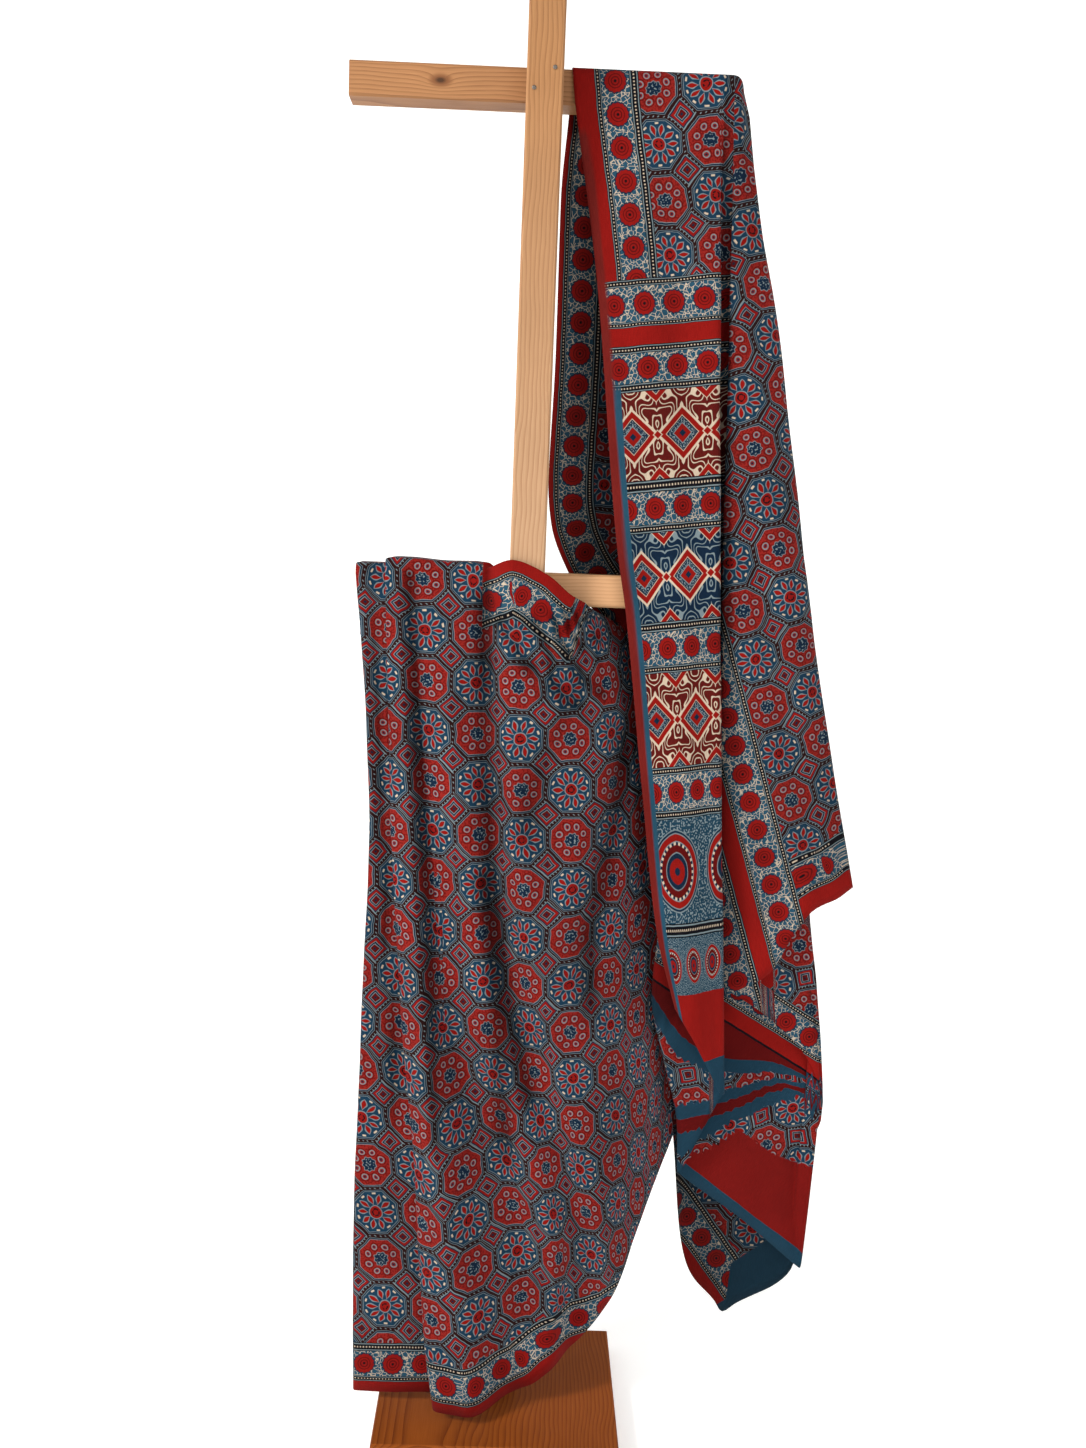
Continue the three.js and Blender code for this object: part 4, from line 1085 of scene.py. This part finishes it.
# Soft folds in millimetres: their depth and pitch, how far they lean for each millimetre of drop, and the
# places across the sheet from which they rise, stand full, sink and end.
fluted = dict(skirt=dict(deep=3.4, pitch=11.5, lean=0.16, span=(13.5, 15.5, 27, 31)),
              panel=dict(deep=2.8, pitch=13, lean=0.13, span=(0, 2, 5.5, 7.5)),
              flare=dict(deep=3.2, pitch=12, lean=0.28, span=(23, 24.5, 27, 28.5)))

# The broad wave under the skirt's folds, and how far below each arm the folds start and are full.
broad = dict(deep=3, pitch=31, lean=0.3, share=0.25)
underArm = dict(upper=(60, 360), lower=(60, 320))


def leaning(flute, x, drop):  # the wave's angle: x less lean times the drop, over the pitch
    return (x - flute["lean"] * drop) / flute["pitch"]


def flutes(points, at, patchOf):  # depth times 1 plus a leaning sine, faded in below each arm
    x, z = points[:, 0], points[:, 2]
    skirtFlute, panelFlute, flareFlute = fluted["skirt"], fluted["panel"], fluted["flare"]
    narrowWave = np.sin(leaning(skirtFlute, x, skirtFolds[0]["z"][0] - z) + np.sin(z / 210) * 0.9)
    broadWave = np.sin((x + broad["lean"] * z) / broad["pitch"] + 1.0)
    swell = 1 + narrowWave * (1 - broad["share"] + broad["share"] * broadWave)
    skirt = skirtFlute["deep"] * swell + broad["deep"] * (1 + broadWave)
    skirt *= ramp(stand["lowerTop"] - z, *underArm["lower"]) * plateau(at, *skirtFlute["span"])
    drop = stand["upperTop"] - z
    panel = 1 + np.sin(leaning(panelFlute, x, drop) + np.sin(z / 260))
    flare = 1 + np.sin(leaning(flareFlute, x, drop))
    front = panelFlute["deep"] * panel * plateau(at, *panelFlute["span"])
    front += flareFlute["deep"] * flare * plateau(at, *flareFlute["span"])
    front *= ramp(drop, *underArm["upper"])
    return np.where(patchOf == skirtPatch, skirt, np.where(patchOf == frontPatch, front, 0))


def ripple(points):  # soft unevenness: a sum of two products of sines in x, y and z
    x, y, z = points.T
    low = np.sin(x / 17 + np.sin(z / 140) * 1.6) * np.sin(z / 90 + 1.3)
    high = np.sin(x / 7.5 + z / 60) * np.sin(z / 31 + x / 40 + y / 9)
    return 0.9 * low + 0.35 * high


def gridFaces(columns, rows, facing):  # two triangles a cell, as corner numbers of a columns by rows grid
    i, j = np.meshgrid(np.arange(columns - 1), np.arange(rows - 1), indexing="ij")
    a, b = i * rows + j, i * rows + j + 1
    c, d = (i + 1) * rows + j + 1, (i + 1) * rows + j
    faces = np.concatenate([np.stack([a, b, c], -1).reshape(-1, 3), np.stack([a, c, d], -1).reshape(-1, 3)])
    return faces if facing > 0 else faces[:, ::-1]


def vertexNormals(points, faces):  # the sum of the crossed edges of the triangles round a point, made a unit
    area = np.cross(points[faces[:, 1]] - points[faces[:, 0]], points[faces[:, 2]] - points[faces[:, 0]])
    normals = np.zeros_like(points)
    for corner in range(3):
        np.add.at(normals, faces[:, corner], area)
    return normals / np.maximum(np.linalg.norm(normals, axis=1, keepdims=True), 1e-9)


def clothPatches():  # front and back meet over the arm, and the skirt starts from the back's lower edge
    fine = cloth["fine"]
    at = np.linspace(0, outerFold["at"], outerFold["at"] * fine + 1)
    front, back = upperLines(frontFolds, -1, at), upperLines(backFolds, 1, at)
    seam = back[:cloth["seamRows"] * fine + 1, -1]
    shares = (seam[0, 2] - seam[:, 2]) / (seam[0, 2] - seam[-1, 2])
    lastFold, bridgeFolds = skirtFolds[-1]["at"], 2
    skirtAt = np.linspace(0, lastFold + bridgeFolds, (lastFold + bridgeFolds) * fine + 1)
    skirt = skirtLines(skirtAt[:lastFold * fine + 1], shares)
    sweep = np.concatenate([np.repeat(seam[:1], cloth["overCells"], axis=0), seam])
    share = np.linspace(0, 1, bridgeFolds * fine + 1)[1:, None, None]
    skirt = np.concatenate([skirt, skirt[-1] + (sweep - skirt[-1]) * share])
    return [(front, at, 1, frontPrint), (back, at, -1, backPrint), (skirt, skirtAt, -1, skirtPrint)]


def joinPatches():  # stacks the grids, welds points that coincide, and drops the triangles that this flattens
    points, faces, patchOf, foldOf, corners = [], [], [], [], []
    count = 0
    for patch, (grid, at, facing, printOf) in enumerate(clothPatches()):
        cells = gridFaces(grid.shape[0], grid.shape[1], facing)
        vectors, isTail = printOf(grid, at)
        read = [place.reshape(-1, 3) * mm for place in vectors]
        # the second mark is painted shade: darker on the back, beside the panel's fold and in the troughs
        read += [mark.reshape(-1, 1) for mark in (isTail, paintedShade(grid, patch))]
        corners.append(np.concatenate(read, axis=1)[cells.ravel()])
        points.append(grid.reshape(-1, 3))
        faces.append(cells + count)
        patchOf.append(np.full(len(points[-1]), patch))
        foldOf.append(np.repeat(at, grid.shape[1]))
        count += len(points[-1])
    points, faces = np.concatenate(points), np.concatenate(faces)
    _, first, welded = np.unique(np.round(points, 3), axis=0, return_index=True, return_inverse=True)
    faces = welded.reshape(-1)[faces]
    keep = (faces[:, 0] != faces[:, 1]) & (faces[:, 1] != faces[:, 2]) & (faces[:, 2] != faces[:, 0])
    corners = np.concatenate(corners)[np.repeat(keep, 3)]
    return points[first], faces[keep], np.concatenate(patchOf)[first], np.concatenate(foldOf)[first], corners


# How far from each arm's middle height, in millimetres, the ripple starts and is full.
rippleNear = dict(upperTop=(30, 70), lowerTop=(24, 54))


def pressSheet(points, faces, patchOf, foldOf):  # ripples along the normals, creases and flutes to the front
    onSkirt = (patchOf == skirtPatch) & (points[:, 1] < cloth["frontLimit"])
    rippled = ripple(points)
    for top, fade in rippleNear.items():
        rippled *= ramp(np.abs(points[:, 2] - stand[top] + stand["armHalf"]), *fade)
    moved = points + vertexNormals(points, faces) * rippled[:, None]
    pressed = sum(crease["deep"] * bell(points, crease) for crease in creases)
    moved[:, 1] -= np.where(onSkirt, pressed, 0) + flutes(points, foldOf, patchOf)
    beforePost = onSkirt & (np.abs(moved[:, 0]) < stand["postHalf"] + cloth["postSide"])
    front = -stand["postHalf"] - cloth["postGap"]
    moved[:, 1] = np.where(beforePost, np.minimum(moved[:, 1], front), moved[:, 1])
    return moved


def makeClothObject():  # the pressed sheet, with what its corners carry, thickened both ways
    points, faces, patchOf, foldOf, corners = joinPatches()
    moved = pressSheet(points, faces, patchOf, foldOf)
    mesh = bpy.data.meshes.new("ajrakhCloth")
    mesh.vertices.add(len(moved))
    mesh.vertices.foreach_set("co", (moved * mm).ravel())
    mesh.loops.add(len(faces) * 3)
    mesh.loops.foreach_set("vertex_index", faces.ravel())
    mesh.polygons.add(len(faces))
    mesh.polygons.foreach_set("loop_start", np.arange(len(faces)) * 3)
    mesh.polygons.foreach_set("use_smooth", np.ones(len(faces), bool))
    mesh.update(calc_edges=True)
    mesh.validate()
    for index, name in enumerate(placeNames):
        attribute = mesh.attributes.new(name, "FLOAT_VECTOR", "CORNER")
        attribute.data.foreach_set("vector", corners[:, 3 * index:3 * index + 3].ravel())
    for index, name in enumerate(markNames):
        attribute = mesh.attributes.new(name, "FLOAT", "CORNER")
        attribute.data.foreach_set("value", corners[:, 3 * len(placeNames) + index].copy())
    mesh.materials.append(makeCloth())
    piece = bpy.data.objects.new("ajrakhCloth", mesh)
    bpy.context.scene.collection.objects.link(piece)
    shell = piece.modifiers.new("thickness", "SOLIDIFY")
    shell.thickness = cloth["thick"] * mm
    shell.offset = 0
    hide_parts("cloth")
    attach(piece, "root")


makeClothObject()
print("cloth made")
